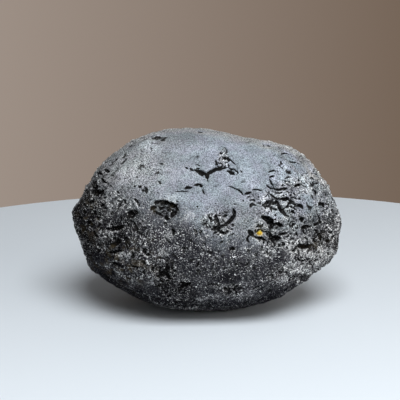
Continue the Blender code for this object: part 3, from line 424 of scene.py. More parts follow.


# --- Patches of the front face: right, up, half length and half height in mm, and how pale -
# Above 0 the skin is paler, partly worn and partly painted light; below 0 it is darker, partly plain black
# glass and partly painted shade.
PATCHES = (
    (-32.0, -1.6, 3.7, 12.6, -0.3), (-26.2, -11.8, 5.2, 6.8, -0.15), (-28.3, 11.5, 1.8, 3.1, -0.8),
    (-34.1, 2.4, 1.8, 3.1, -0.3), (-31.5, -8.1, 1.8, 3.1, -0.3), (-19.9, 0.3, 2.4, 1.8, -0.7),
    (10.7, 2.1, 4.7, 1.8, -0.3), (4.2, 3.9, 4.2, 1.6, -0.2), (10.5, 6.8, 2.6, 1.8, -0.15),
    (-21.0, -1.3, 2.1, 1.8, -0.3), (-28.6, 11.0, 1.6, 2.9, -0.5), (-2.6, 1.3, 2.4, 1.6, -0.1),
    (-5.8, -19.4, 4.2, 2.4, -0.3), (-14.2, -20.7, 4.2, 1.8, -0.3), (-10.7, -19.1, 3.1, 2.1, -0.2),
    (19.7, -20.7, 6.3, 1.8, -0.5), (22.5, -18.4, 3.7, 1.3, -0.5), (5.0, -22.8, 14.4, 1.0, -0.4),
    (-6.3, -2.9, 4.2, 3.7, -0.25), (-15.5, 13.9, 1.8, 2.4, -0.15), (-6.0, 22.0, 3.7, 1.3, -0.2),
    (25.2, 16.0, 1.8, 1.8, -0.2), (21.0, 17.6, 1.6, 1.3, -0.2), (17.3, 12.1, 1.6, 1.6, -0.3),
    (-14.2, 5.8, 3.1, 2.6, -0.2), (-4.7, 7.9, 3.1, 1.0, -0.15), (-10.5, 2.6, 3.4, 2.4, -0.9),
    (2.1, -1.0, 2.9, 1.8, -0.8), (5.2, 0.5, 2.1, 1.8, -0.3), (8.4, -1.6, 1.0, 0.8, -0.3),
    (-27.8, 11.8, 1.6, 1.8, -0.9), (-29.6, 8.4, 1.8, 1.6, -1.0), (-28.3, 6.8, 2.4, 0.9, -1.0),
    (-31.7, 5.0, 1.3, 2.4, -0.9), (-33.0, 1.8, 1.8, 2.4, -0.9), (-30.9, 0.3, 2.4, 2.1, -0.8),
    (-33.0, -2.4, 1.6, 2.4, -0.9), (-31.5, -5.0, 2.1, 2.1, -0.8), (-29.9, -8.7, 2.4, 2.1, -0.8),
    (-28.3, -11.8, 2.1, 2.1, -0.9), (-26.2, -14.9, 2.4, 1.6, -0.9), (-23.1, -17.3, 2.6, 1.3, -0.8),
    (-19.4, -19.4, 3.1, 1.3, -0.8), (-14.7, -21.2, 3.7, 1.0, -0.7), (-24.6, -18.6, 2.1, 0.8, -0.8),
    (-26.5, 15.1, 1.0, 0.7, -1.0), (-24.6, 16.6, 0.9, 0.5, -0.9), (-26.0, 13.4, 0.8, 0.6, -0.7),
    (-23.3, 14.2, 1.3, 1.0, -0.4), (-27.0, 10.0, 1.3, 1.0, -0.5), (-27.0, 3.4, 1.0, 1.0, -0.5),
    (-23.1, 3.1, 0.8, 1.6, -0.5), (-28.3, -0.8, 2.1, 1.6, -0.7), (-19.9, 1.0, 1.8, 1.0, -0.9),
    (-24.6, -0.8, 2.6, 1.3, -0.7), (-24.6, -2.4, 2.6, 0.6, -1.0), (-22.0, -5.5, 1.3, 2.4, -0.9),
    (-24.1, -6.3, 2.1, 1.0, -0.9), (-26.7, -6.3, 1.6, 1.3, -0.5), (-27.8, -9.7, 2.1, 1.0, -0.6),
    (-19.1, -9.2, 0.6, 1.0, -1.0), (-22.8, -12.1, 2.4, 0.9, -0.7), (-18.6, -11.3, 2.1, 1.6, -0.6),
    (-17.8, -3.1, 1.6, 2.1, -0.5), (-25.2, -9.4, 1.8, 1.0, -0.5), (-10.7, -13.9, 2.1, 2.4, -0.8),
    (-11.0, -17.3, 2.9, 1.6, -0.7), (-16.0, -17.8, 2.9, 1.6, -0.6), (-1.0, -18.9, 3.9, 1.6, -0.6),
    (-5.2, -17.6, 1.8, 0.9, -0.8), (5.0, -12.8, 3.7, 2.1, -0.3), (5.8, -15.7, 3.7, 1.3, -0.7),
    (-0.3, -12.8, 3.7, 2.1, -0.35), (12.8, -14.4, 3.1, 1.8, -0.2), (19.9, -10.0, 2.1, 1.6, -0.8),
    (20.4, -17.6, 3.4, 1.3, -0.7), (15.5, -19.4, 3.1, 1.0, -0.6), (7.6, -21.2, 7.9, 1.0, -0.7),
    (-4.2, -21.8, 6.6, 0.9, -0.6), (-6.8, -11.3, 2.1, 2.1, -0.3), (6.8, -7.9, 1.0, 0.8, -0.7),
    (13.6, -17.8, 1.8, 0.8, -0.7), (19.7, -13.9, 1.6, 1.0, -0.7), (7.9, -18.1, 1.3, 1.0, -0.6),
    (6.0, -19.4, 1.3, 0.6, -0.8), (-13.4, -12.8, 2.1, 1.6, -0.4), (-14.2, -5.5, 1.6, 1.8, -0.3),
    (16.3, -0.5, 1.6, 1.3, -0.7), (18.4, -1.6, 2.4, 0.7, -0.9), (12.1, -3.7, 1.3, 0.8, -0.9),
    (17.8, -5.0, 3.1, 0.8, -0.9), (20.2, -3.9, 1.6, 0.5, -0.6), (24.6, -10.0, 1.3, 1.0, -0.6),
    (27.0, -11.0, 1.0, 1.3, -0.5), (25.7, -2.6, 1.8, 1.0, -0.8), (26.0, -7.1, 2.4, 0.7, -1.0),
    (29.4, -4.2, 1.3, 2.1, -0.7), (31.7, -5.8, 1.2, 0.9, -1.0), (33.8, -6.3, 0.6, 2.1, -0.7),
    (28.8, -0.5, 1.6, 1.6, -0.6), (32.5, 0.0, 1.0, 1.6, -0.6), (30.4, 3.7, 0.9, 1.0, -0.9),
    (28.6, 7.3, 0.8, 1.3, -0.7), (27.8, 9.2, 0.8, 1.0, -0.7), (26.0, 4.2, 1.8, 2.1, -0.3),
    (20.4, 2.4, 1.8, 1.3, -0.6), (20.2, 5.2, 3.1, 0.7, -0.8), (18.6, 8.1, 3.1, 0.7, -0.6),
    (24.9, 3.1, 1.6, 0.8, -0.6), (23.6, -14.9, 2.4, 0.7, -0.5), (25.7, -15.7, 1.3, 0.7, -0.5),
    (32.5, 2.9, 1.0, 0.8, -0.4), (-10.2, 3.7, 3.1, 1.6, -0.6), (-12.1, 1.6, 2.6, 1.0, -0.5),
    (6.6, 0.5, 1.0, 2.4, -0.7), (2.6, -2.1, 2.4, 0.8, -0.8), (0.8, -0.3, 1.3, 1.3, -0.5),
    (11.5, 20.2, 1.0, 0.7, -0.5), (-15.5, 21.1, 2.1, 0.4, -0.9), (-19.1, 19.7, 1.3, 0.8, -0.8),
    (-12.8, 20.3, 1.3, 0.4, -0.8), (-21.0, 18.4, 0.8, 0.5, -0.7), (2.6, 15.2, 0.8, 1.3, -0.4),
    (4.2, 17.0, 1.3, 1.0, -0.4), (-24.6, 4.2, 1.8, 2.6, 0.45), (-21.5, 11.3, 2.4, 2.1, 0.3),
    (-26.5, -5.5, 1.6, 1.3, 0.35), (-17.3, -5.0, 2.6, 1.6, 0.3), (-21.8, -10.0, 1.8, 1.3, 0.5),
    (-10.7, -7.9, 2.4, 2.4, 0.3), (11.5, 10.5, 2.9, 2.6, 0.3), (10.5, 17.6, 3.7, 2.6, 0.15),
    (20.4, 13.4, 1.8, 1.8, 0.35), (26.2, 11.0, 2.1, 1.6, 0.35), (22.8, -6.0, 2.4, 3.1, 0.55),
    (20.4, -15.2, 1.8, 1.8, 0.45), (10.5, -11.3, 2.6, 2.4, 0.3), (13.1, -1.8, 1.6, 1.6, 0.6),
    (-5.5, 5.2, 3.7, 1.3, 0.2), (-4.7, -0.3, 2.4, 1.6, 0.4), (23.3, -7.6, 2.4, 2.6, 0.4),
    (20.7, -13.9, 1.6, 2.1, 0.4), (31.2, -6.8, 1.3, 1.3, 0.3), (31.5, 1.8, 1.3, 1.3, 0.3),
    (-14.7, -4.5, 2.6, 1.6, 0.35), (-10.0, -3.4, 2.1, 1.6, 0.2), (-2.9, 12.3, 2.6, 1.6, 0.2),
    (-8.9, 10.2, 2.6, 2.1, 0.15), (-11.0, 21.2, 1.6, 1.3, 0.25), (2.4, -12.3, 3.7, 1.6, 0.15),
    (-10.0, 5.0, 2.4, 1.0, 0.15), (20.2, -6.6, 1.8, 1.8, 0.3), (22.0, 3.4, 2.1, 1.6, 0.15),
    (-21.2, 5.0, 2.1, 1.6, 0.2), (-17.8, 14.9, 4.7, 3.1, 0.15), (-14.7, 19.1, 3.1, 1.6, 0.4),
    (-20.4, 11.8, 2.6, 2.1, 0.3), (-13.4, 14.9, 1.0, 2.1, 0.1), (-23.9, 15.7, 1.3, 0.5, 0.4),
    (-7.3, 23.1, 4.7, 0.5, 0.1), (-2.9, 18.6, 2.1, 1.3, 0.3), (15.5, 19.9, 4.7, 0.8, 0.35),
    (22.0, 17.6, 2.1, 1.0, 0.25), (27.8, 14.2, 1.6, 1.6, 0.25), (-23.9, 8.1, 2.4, 2.1, 0.35),
    (-24.9, 4.7, 1.3, 1.8, 0.45), (-21.2, -1.0, 1.6, 1.3, 0.7), (-26.2, -3.7, 2.1, 0.9, 0.7),
    (-18.1, -11.0, 1.8, 1.3, 0.6), (-21.5, -9.7, 2.4, 1.3, 0.8), (-27.0, -8.4, 1.3, 0.9, 0.4),
    (-17.0, -7.1, 1.8, 0.8, 0.6), (-14.7, -9.4, 1.6, 1.3, 0.5), (-9.7, -5.0, 1.3, 2.1, 0.7),
    (-11.3, -8.7, 1.6, 1.3, 0.7), (-12.3, -11.8, 1.0, 0.9, 0.7), (-4.7, 0.8, 2.1, 1.0, 0.6),
    (-1.8, 1.8, 1.8, 1.3, 0.3), (-28.8, 5.2, 0.8, 0.6, 0.6), (-15.7, -0.5, 1.6, 2.1, 0.3),
    (-7.3, -1.8, 1.6, 2.6, 0.3), (-1.8, -3.7, 3.1, 2.1, 0.25), (-5.5, -6.6, 2.6, 1.6, 0.25),
    (16.3, 2.1, 1.8, 1.2, 0.5), (20.2, 6.8, 2.1, 0.8, 0.4), (25.2, 7.9, 2.1, 1.0, 0.3),
    (22.8, 10.0, 1.6, 0.8, 0.7), (17.3, 11.5, 1.0, 1.0, 0.4), (22.0, -9.7, 1.8, 2.1, 0.6),
    (26.7, -9.2, 2.4, 1.2, 1.0), (30.4, -8.9, 2.1, 1.6, 1.0), (24.9, -12.6, 2.4, 1.3, 1.0),
    (28.8, -11.3, 2.4, 1.3, 0.7), (24.6, -5.2, 2.4, 1.0, 0.6), (21.0, -12.1, 2.1, 2.1, 0.5),
    (20.7, -6.8, 2.1, 1.0, 0.4), (32.5, 5.0, 1.0, 2.1, 0.1), (31.2, 7.6, 1.0, 1.6, 0.1),
    (31.7, -2.4, 1.0, 1.3, 0.3), (16.3, -7.1, 1.8, 1.3, 0.7), (17.0, -9.2, 2.1, 1.3, 0.7),
    (13.1, -5.8, 1.8, 0.7, 0.6), (10.2, -7.1, 1.0, 1.3, 0.6), (13.4, -9.7, 1.6, 1.6, 0.3),
    (15.7, -1.8, 1.0, 1.0, 0.6), (4.5, 0.0, 1.3, 0.9, 0.8), (1.8, -10.2, 1.0, 1.0, 0.5),
    (5.8, -18.1, 0.7, 0.5, 1.0), (-0.5, -21.8, 1.3, 0.8, 0.6), (9.2, -16.8, 0.8, 0.6, 0.6),
    (10.7, -13.6, 1.0, 1.3, 0.5), (-0.3, -7.6, 1.0, 0.8, 0.5), (19.4, 0.0, 2.4, 0.9, 0.3),
    (27.5, -6.3, 1.0, 1.3, 0.5), (23.3, -1.8, 1.8, 1.0, 0.2), (22.0, -13.4, 1.6, 1.0, 0.5),
    (27.3, -13.9, 1.6, 0.8, 0.4), (32.5, -8.7, 0.8, 1.0, 0.5), (34.1, 1.8, 0.8, 2.1, 0.4),
    (-31.7, 8.7, 1.0, 2.1, 0.35), (-25.2, 1.8, 1.3, 2.6, 0.25), (-28.8, -0.5, 1.6, 1.0, 0.2),
    (-34.1, -3.1, 0.8, 2.6, 0.2), (-32.5, -5.8, 1.0, 1.6, 0.25), (-29.9, -11.3, 1.6, 1.6, 0.2),
    (-10.0, 5.0, 2.1, 1.0, 0.4), (-13.4, 3.1, 1.3, 1.3, 0.25), (-22.0, 4.2, 2.6, 1.0, 0.15),
    (-17.3, -0.8, 1.0, 1.3, 0.3), (1.8, -0.8, 2.1, 0.8, 0.4), (-4.2, -0.8, 1.6, 3.1, 0.15),
    (5.8, 7.6, 1.3, 1.0, 0.25), (1.8, 17.6, 1.3, 1.3, 0.25), (-13.1, 21.2, 2.1, 1.0, 0.4),
    (26.0, 4.2, 1.0, 1.6, 0.25), (22.0, 2.9, 1.6, 1.0, 0.2), (14.7, 5.0, 0.9, 0.9, 0.4),
    (16.8, -2.9, 1.6, 1.3, 0.15), (11.5, -3.1, 1.3, 1.0, 0.2), (4.2, -8.1, 1.6, 1.3, 0.2),
    (2.6, -12.8, 4.2, 1.6, 0.25), (-11.3, -12.3, 1.6, 1.3, 0.15), (-14.7, -17.0, 1.6, 1.3, 0.35),
    (-0.3, -19.1, 2.4, 2.1, 0.3), (5.8, -20.4, 7.9, 1.0, 0.25), (12.1, -18.9, 2.1, 1.3, 0.15),
    (19.7, -16.8, 1.6, 1.6, 0.35), (23.1, -16.3, 1.8, 0.8, 0.2), (30.1, -6.0, 1.8, 1.0, 0.2),
    (34.6, -0.8, 0.8, 2.6, 0.2), (28.6, -12.1, 1.6, 1.3, 0.15), (22.0, -10.2, 1.3, 1.0, 0.15),
    (24.6, -6.3, 1.6, 1.0, 0.15), (7.9, -5.5, 1.0, 2.4, 0.15), (22.5, 8.1, 2.1, 1.3, -0.25),
    (17.6, 8.7, 1.0, 1.3, -0.2), (31.2, 7.1, 1.3, 1.6, -0.25), (22.5, -1.0, 2.1, 0.8, -0.35),
    (28.6, 1.6, 1.0, 1.0, -0.2), (16.3, -6.3, 1.6, 1.0, -0.3), (11.0, 6.8, 2.1, 1.8, -0.12),
    (13.6, 1.0, 1.6, 1.3, -0.12), (10.2, -12.6, 1.3, 0.8, -0.2), (1.8, -8.1, 1.3, 1.0, -0.15),
    (-14.4, -8.7, 1.3, 1.0, -0.15), (-24.6, -7.3, 1.6, 1.3, -0.2), (-21.2, -1.8, 1.3, 1.6, -0.15),
    (-5.5, -18.6, 1.0, 2.1, -0.25), (-28.3, -3.7, 1.0, 0.8, -0.1), (-11.5, 9.4, 1.3, 1.0, -0.12),
    (-6.3, 20.7, 2.4, 1.3, -0.12), (-9.4, 22.8, 1.8, 1.0, -0.1), (-14.7, 19.4, 1.3, 1.0, -0.12),
    (4.2, 19.4, 1.0, 1.3, -0.12), (-25.7, 15.5, 1.0, 1.0, -0.15), (-22.0, 16.8, 1.6, 1.0, -0.1),
    (7.1, 13.4, 1.0, 1.6, -0.12), (19.9, 16.5, 1.3, 1.0, -0.12), (24.6, 16.0, 1.0, 1.0, -0.15),
    (-5.0, 8.1, 1.8, 1.0, -0.12), (-1.3, 1.6, 1.3, 1.0, -0.1), (-10.7, 0.3, 1.3, 0.8, -0.1),
    (-14.7, 14.2, 2.6, 1.3, -0.1), (-26.7, 12.8, 1.3, 2.6, -0.25), (-22.5, 17.6, 2.6, 1.3, -0.2),
    (-15.2, 12.3, 3.1, 2.6, -0.2), (-18.6, 8.1, 2.1, 1.8, -0.15), (-6.3, 21.8, 4.2, 1.8, -0.15),
    (-8.9, 23.1, 1.6, 1.0, -0.15), (-5.0, 8.1, 2.4, 1.3, -0.12), (11.0, 19.9, 2.4, 1.0, -0.12),
    (25.2, 16.0, 1.3, 1.3, -0.25), (20.7, 16.8, 1.6, 1.3, -0.12), (18.1, 8.4, 1.3, 1.0, -0.25),
    (24.1, 8.4, 1.6, 1.3, -0.2), (22.0, 9.4, 1.6, 1.6, -0.15), (31.2, 7.6, 1.3, 1.8, -0.3),
    (8.9, 1.8, 4.2, 2.1, -0.2), (13.1, 0.5, 1.8, 1.3, -0.15), (3.1, 3.1, 2.6, 1.6, -0.15),
    (12.3, 5.5, 1.0, 1.0, -0.2), (22.5, -1.3, 2.1, 1.0, -0.25), (21.5, -5.0, 1.6, 1.3, -0.25),
    (2.1, -8.1, 1.6, 1.6, -0.25), (-14.9, -9.4, 1.6, 1.3, -0.1), (-16.8, -11.3, 1.0, 1.0, -0.1),
    (-20.4, -14.4, 1.6, 1.3, -0.15), (-24.6, -7.3, 1.6, 1.0, -0.15), (11.5, -6.3, 1.6, 0.8, -0.15),
    (17.3, -6.8, 1.8, 0.8, -0.15), (9.7, -12.8, 1.3, 0.8, -0.2), (23.9, -12.3, 1.3, 1.3, -0.12),
    (-9.4, -22.0, 3.1, 0.8, -0.2), (19.4, -21.2, 3.1, 0.8, -0.3), (-16.8, -3.9, 1.3, 1.0, -0.1),
    (-30.7, 8.7, 1.0, 1.6, 0.3), (-24.4, 2.9, 1.0, 3.1, 0.35), (-28.8, -0.5, 1.6, 1.0, 0.35),
    (-26.7, -1.3, 2.1, 1.0, 0.3), (-34.1, -0.3, 0.8, 2.1, 0.15), (-32.5, -4.5, 1.3, 2.4, 0.4),
    (-28.8, -7.1, 1.3, 1.3, 0.25), (-30.4, -11.3, 1.3, 1.6, 0.25), (-27.0, -11.3, 1.6, 1.6, 0.15),
    (-20.4, -17.3, 2.1, 1.0, 0.15), (-14.4, -17.0, 1.6, 1.3, 0.4), (-10.7, -14.7, 1.6, 2.1, 0.25),
    (-17.3, -0.8, 1.3, 1.6, 0.3), (-14.7, -6.3, 1.6, 0.8, 0.2), (-10.2, 5.0, 2.6, 1.0, 0.4),
    (-4.2, 4.5, 1.3, 1.0, 0.2), (-8.1, 10.7, 1.6, 1.3, 0.15), (-2.6, 11.8, 1.3, 1.0, 0.2),
    (3.7, 16.5, 1.6, 1.3, 0.35), (5.8, 7.3, 1.8, 1.0, 0.2), (1.8, -0.8, 2.4, 1.0, 0.4),
    (-2.4, -2.4, 1.6, 2.6, 0.2), (-0.3, -5.0, 2.1, 1.0, 0.2), (12.6, -3.1, 1.6, 1.0, 0.5),
    (17.3, -3.9, 1.6, 1.0, 0.35), (16.8, -0.3, 1.3, 1.0, 0.25), (14.9, 6.3, 1.0, 1.3, 0.3),
    (21.5, 2.6, 1.3, 1.0, 0.35), (27.0, 11.3, 1.0, 1.0, 0.35), (27.8, 7.1, 1.0, 1.3, 0.4),
    (32.0, 1.6, 1.6, 1.0, 0.4), (34.6, -0.8, 0.8, 2.1, 0.25), (31.2, -5.2, 2.4, 1.3, 0.5),
    (25.4, -5.5, 1.3, 1.3, 0.15), (3.1, -12.8, 4.2, 1.8, 0.3), (-6.8, -13.4, 2.1, 1.6, 0.15),
    (-2.9, -18.6, 1.6, 1.3, 0.2), (5.0, -20.7, 8.4, 1.0, 0.35), (13.6, -19.1, 3.1, 1.3, 0.3),
    (20.2, -17.3, 2.1, 1.3, 0.5), (24.1, -15.7, 1.6, 1.0, 0.4), (5.0, -8.1, 1.6, 2.1, 0.15),
    (-20.7, -11.3, 1.8, 0.8, 0.15), (18.1, -10.0, 2.6, 0.8, 0.12), (22.8, -10.0, 1.6, 0.8, 0.12),
    (-25.2, 14.9, 1.6, 1.3, -0.2), (-27.5, 10.7, 1.0, 1.6, -0.15), (-16.0, 21.2, 1.6, 0.8, -0.15),
    (-19.9, 18.6, 1.6, 1.0, -0.12), (-22.5, 7.1, 1.0, 1.8, -0.2), (-12.1, 9.7, 1.6, 1.6, -0.15),
    (-10.7, 14.2, 1.8, 1.3, -0.12), (-14.7, 1.0, 1.0, 1.8, -0.12), (-10.7, -0.8, 1.8, 1.3, -0.15),
    (-6.6, -4.2, 1.3, 1.3, -0.2), (-8.9, -7.3, 2.6, 1.0, -0.2), (-3.1, -7.1, 2.1, 1.0, -0.12),
    (2.1, -8.1, 1.6, 2.1, -0.2), (-16.0, -10.2, 1.6, 1.6, -0.12), (-18.1, -11.8, 1.3, 0.8, -0.1),
    (-23.6, -7.6, 2.4, 1.3, -0.15), (10.2, -12.8, 1.8, 1.0, -0.2), (5.8, -10.7, 1.3, 1.0, -0.15),
    (0.3, -15.5, 3.7, 0.8, -0.1), (-3.4, -11.3, 1.6, 0.8, -0.12), (15.5, -16.3, 1.6, 1.0, -0.15),
    (18.1, -14.2, 1.0, 1.3, -0.12), (16.8, -7.1, 1.6, 1.0, -0.15), (21.0, -7.1, 1.3, 1.3, -0.2),
    (23.3, -4.5, 1.3, 1.6, -0.25), (23.6, -1.0, 1.3, 1.3, -0.2), (26.7, -11.3, 1.0, 1.6, -0.25),
    (14.7, -11.3, 1.0, 0.8, -0.1), (25.2, 16.0, 1.3, 1.0, -0.12), (23.6, 11.5, 1.3, 1.6, -0.15),
    (29.9, 10.5, 0.8, 1.0, -0.15), (30.1, 5.5, 1.6, 1.0, -0.12), (17.3, 8.4, 0.8, 1.0, -0.1),
    (24.6, 7.9, 1.3, 0.8, -0.1), (4.2, 18.6, 1.3, 1.6, -0.12), (-5.5, 20.7, 3.7, 1.6, -0.1),
    (18.1, -21.8, 4.2, 0.8, -0.2), (-2.6, 1.8, 1.3, 0.8, -0.12), (-34.3, -0.3, 0.8, 1.0, 0.2),
    (-33.6, -3.1, 1.0, 1.3, 0.4), (-32.5, -5.5, 1.0, 1.3, 0.25), (-29.1, -0.5, 1.0, 0.8, 0.25),
    (-25.2, -0.3, 1.3, 1.0, 0.15), (-28.3, -7.1, 1.0, 1.3, 0.15), (-29.9, -11.3, 1.3, 1.3, 0.2),
    (-10.5, 5.0, 2.1, 0.8, 0.3), (-12.8, 2.9, 1.0, 0.8, 0.25), (-4.2, 5.5, 1.3, 1.3, 0.15),
    (2.9, -1.0, 1.3, 1.0, 0.45), (13.1, -3.1, 1.3, 1.0, 0.25), (17.3, -3.9, 1.0, 0.8, 0.25),
    (14.9, 6.0, 1.0, 1.0, 0.25), (22.5, 4.7, 1.3, 0.8, 0.35), (21.2, 1.6, 1.0, 1.0, 0.2),
    (3.7, 15.7, 1.6, 1.0, 0.2), (6.3, 18.9, 1.0, 1.0, 0.15), (0.5, 9.4, 1.6, 1.0, 0.12),
    (34.6, -1.8, 0.8, 1.3, 0.2), (31.5, 1.6, 1.0, 0.8, 0.15), (11.5, 10.5, 1.8, 0.8, 0.12),
    (-27.5, 9.2, 1.0, 2.1, -0.35), (-25.2, 14.7, 1.3, 1.6, -0.15), (-19.1, 19.1, 1.6, 1.0, -0.12),
    (-23.1, -7.6, 2.4, 1.3, -0.25), (-18.1, -11.8, 1.3, 1.3, -0.2), (-20.4, -13.9, 1.6, 1.3, -0.15),
    (-14.7, -0.3, 1.0, 2.1, -0.2), (-16.5, -3.9, 1.0, 1.3, -0.2), (-10.0, 0.5, 1.6, 1.3, -0.2),
    (-22.5, 6.0, 1.0, 1.6, -0.15), (-6.8, -17.0, 1.3, 1.3, -0.2), (-6.0, -19.4, 1.3, 1.3, -0.15),
    (-10.7, -19.1, 1.3, 1.3, -0.12), (-7.9, -4.7, 1.6, 1.3, -0.15), (-4.2, -7.1, 3.7, 1.3, -0.15),
    (2.4, -9.4, 1.0, 1.0, -0.12), (-2.9, -11.3, 1.6, 0.8, -0.12), (-12.6, -14.7, 1.0, 1.0, -0.12),
    (16.3, -6.6, 2.1, 1.0, -0.2), (20.7, -7.1, 1.3, 1.3, -0.3), (18.1, 8.1, 1.3, 1.3, -0.25),
    (25.4, 8.4, 1.6, 1.0, -0.15), (12.3, 5.8, 1.3, 1.0, -0.2), (10.2, 8.1, 1.6, 1.0, -0.1),
    (14.7, 1.8, 1.0, 1.3, -0.2), (5.2, 0.8, 1.0, 1.0, -0.2), (28.6, 1.6, 1.0, 1.0, -0.35),
    (29.9, -1.8, 1.3, 1.3, -0.25), (22.5, -2.4, 2.1, 1.0, -0.12), (7.9, 13.9, 1.0, 1.3, -0.15),
    (16.8, -15.5, 1.3, 1.3, -0.15), (21.5, 16.3, 2.1, 1.3, -0.15), (25.2, 15.5, 1.3, 1.3, -0.15),
    (10.2, -12.3, 1.6, 1.0, -0.15), (19.4, -21.2, 3.7, 0.8, -0.2), (6.3, -23.1, 10.5, 0.8, -0.15),
    (-0.3, -3.1, 0.8, 0.8, -0.15), (-34.1, -0.8, 0.8, 2.1, 0.25), (-32.5, -5.0, 1.0, 1.6, 0.2),
    (-28.8, -0.5, 1.0, 0.8, 0.25), (-28.6, -7.1, 1.0, 1.0, 0.15), (2.6, -0.5, 1.3, 1.0, 0.3),
    (6.8, -3.7, 1.0, 0.8, 0.2), (12.8, -3.1, 1.3, 1.0, 0.2), (27.3, 10.7, 0.8, 0.8, 0.2),
    (26.7, 3.4, 1.0, 1.0, 0.2), (-14.2, -17.0, 1.0, 1.0, 0.2), (-27.8, 10.7, 1.0, 2.1, -0.4),
    (-27.3, 7.6, 1.0, 1.6, -0.25), (-23.1, 5.0, 1.0, 1.3, -0.2), (-25.2, 15.5, 1.3, 1.3, -0.12),
    (-19.4, 8.9, 2.1, 2.1, -0.15), (-15.2, 8.9, 1.8, 1.3, -0.12), (-15.2, 14.2, 2.1, 1.0, -0.1),
    (-16.8, 1.8, 1.3, 1.3, -0.15), (-23.1, -7.6, 2.1, 1.0, -0.25), (-19.4, -0.8, 1.3, 1.3, -0.2),
    (-14.7, -8.7, 1.3, 1.0, -0.2), (-17.8, -12.8, 1.6, 1.0, -0.15), (-10.7, -7.3, 2.1, 1.0, -0.12),
    (-20.4, -13.9, 1.6, 1.3, -0.1), (-6.3, 8.1, 1.8, 1.3, -0.2), (-1.0, 1.8, 1.3, 1.0, -0.15),
    (4.2, 2.4, 1.6, 2.1, -0.2), (5.0, 18.1, 1.0, 1.3, -0.1), (7.6, 14.2, 1.3, 1.8, -0.15),
    (10.2, 7.6, 1.6, 1.0, -0.15), (14.7, 1.8, 1.6, 1.0, -0.2), (18.6, 8.1, 1.3, 1.6, -0.25),
    (20.7, 6.3, 1.3, 1.0, -0.12), (23.9, 14.2, 1.3, 1.6, -0.15), (20.7, 17.6, 1.3, 1.0, -0.12),
    (31.2, 6.3, 1.0, 1.3, -0.2), (27.8, 10.2, 1.0, 1.0, -0.1), (22.8, -4.5, 2.1, 1.3, -0.3),
    (20.7, -2.4, 1.6, 1.0, -0.15), (12.1, -0.8, 1.6, 1.0, -0.12), (11.0, -6.8, 1.3, 1.0, -0.12),
    (16.8, -7.1, 1.3, 1.0, -0.12), (-6.8, -17.3, 1.6, 1.3, -0.15), (-8.1, -22.0, 4.2, 0.8, -0.2),
    (19.4, -21.0, 4.2, 0.8, -0.3), (5.0, -19.1, 2.1, 1.0, -0.12), (10.2, -12.8, 1.6, 1.0, -0.1),
    (-16.0, -3.4, 1.6, 1.0, -0.12), (18.9, -16.0, 2.1, 1.0, -0.15), (-11.3, 21.0, 1.3, 1.0, 0.25),
    (-33.6, -2.4, 1.0, 2.1, 0.2), (-29.1, -0.3, 1.0, 0.8, 0.15), (-32.0, -5.5, 1.0, 1.3, 0.15),
    (-25.2, 1.0, 1.3, 1.6, 0.2), (-19.4, 2.4, 1.3, 1.3, 0.25), (-11.5, 3.7, 1.3, 1.3, 0.2),
    (-8.1, 4.5, 1.3, 1.0, 0.15), (-7.3, 12.3, 1.6, 2.1, 0.15), (-2.9, 11.3, 1.3, 1.0, 0.15),
    (2.4, 8.1, 1.8, 1.0, 0.2), (11.0, 10.2, 1.6, 1.0, 0.15), (10.2, 15.5, 1.6, 1.0, 0.1),
    (21.0, 1.6, 1.3, 1.3, 0.3), (27.8, 11.5, 1.0, 1.0, 0.15), (16.8, -0.3, 1.0, 1.0, 0.25),
    (12.6, -3.1, 1.3, 1.0, 0.25), (17.3, -3.9, 1.0, 0.8, 0.2), (7.9, -6.0, 0.8, 1.6, 0.15),
    (34.3, -2.4, 0.8, 1.3, 0.25), (31.2, 1.6, 1.0, 1.0, 0.2), (26.7, 3.4, 1.0, 1.0, 0.15),
    (-13.4, -17.3, 1.3, 1.3, 0.25), (-12.6, -12.1, 1.3, 1.0, 0.2), (-0.3, -11.3, 1.3, 1.3, 0.15),
    (-0.3, -21.2, 1.3, 0.8, 0.2), (15.2, -20.2, 1.6, 1.0, 0.2), (-28.3, -8.7, 1.0, 2.1, 0.12),
    (2.9, -1.8, 0.8, 1.3, 0.2), (25.2, -6.3, 1.0, 1.3, 0.15), (-17.8, -17.3, 1.3, 1.0, 0.12),
    (18.6, 8.4, 1.3, 1.3, -0.25), (5.2, 0.8, 1.0, 1.6, -0.25), (19.7, 1.8, 1.0, 1.0, -0.15),
    (-15.5, -11.0, 1.6, 1.0, -0.2), (-5.2, -17.8, 1.3, 1.6, -0.15), (-27.8, 10.7, 0.8, 1.6, -0.3),
)


# --- Lower edge of the pale frost and painted top sheen on the front face: right and up, in mm ---
BLOOM_AND_SHEEN_EDGE = (
    (-35.0, 17.0),
    (-30.0, 14.0),
    (-25.0, 9.5),
    (-20.0, 7.5),
    (-15.0, 6.5),
    (-12.0, 5.5),
    (-8.0, 4.5),
    (-5.0, 3.5),
    (-2.0, 1.5),
    (2.0, -1.5),
    (6.0, -2.2),
    (10.0, -2.0),
    (14.0, -1.5),
    (18.0, -1.0),
    (24.0, 0.5),
    (30.0, 4.0),
    (36.0, 8.0),
)


# --- Corners of the outline that stand out: right and up, reach and rise in mm -------------
CORNERS = (
    (-30.4, -12.6, 4.0, 0.9),
    (-31.7, -8.0, 4.0, 0.4),
    (-34.8, 2.2, 3.0, 0.5),
    (33.4, -8.0, 5.0, 0.5),
)


# --- Torn ground inside the large pits: right, up, half length and half height, in mm ------
TORN_GROUND = (
    (-10.7, 2.6, 3.2, 2.2),
    (1.8, -0.6, 3.2, 2.0),
    (4.2, -2.6, 2.6, 1.6),
    (16.5, -3.0, 3.8, 3.4),
    (20.0, 3.4, 4.6, 2.6),
    (-10.7, -13.9, 2.6, 3.4),
    (-8.1, -17.3, 4.5, 1.8),
    (6.8, -18.6, 3.0, 1.5),
    (19.7, -14.9, 3.0, 2.0),
    (4.5, 16.0, 1.2, 2.4),
    (17.0, -8.0, 2.6, 2.0),
)


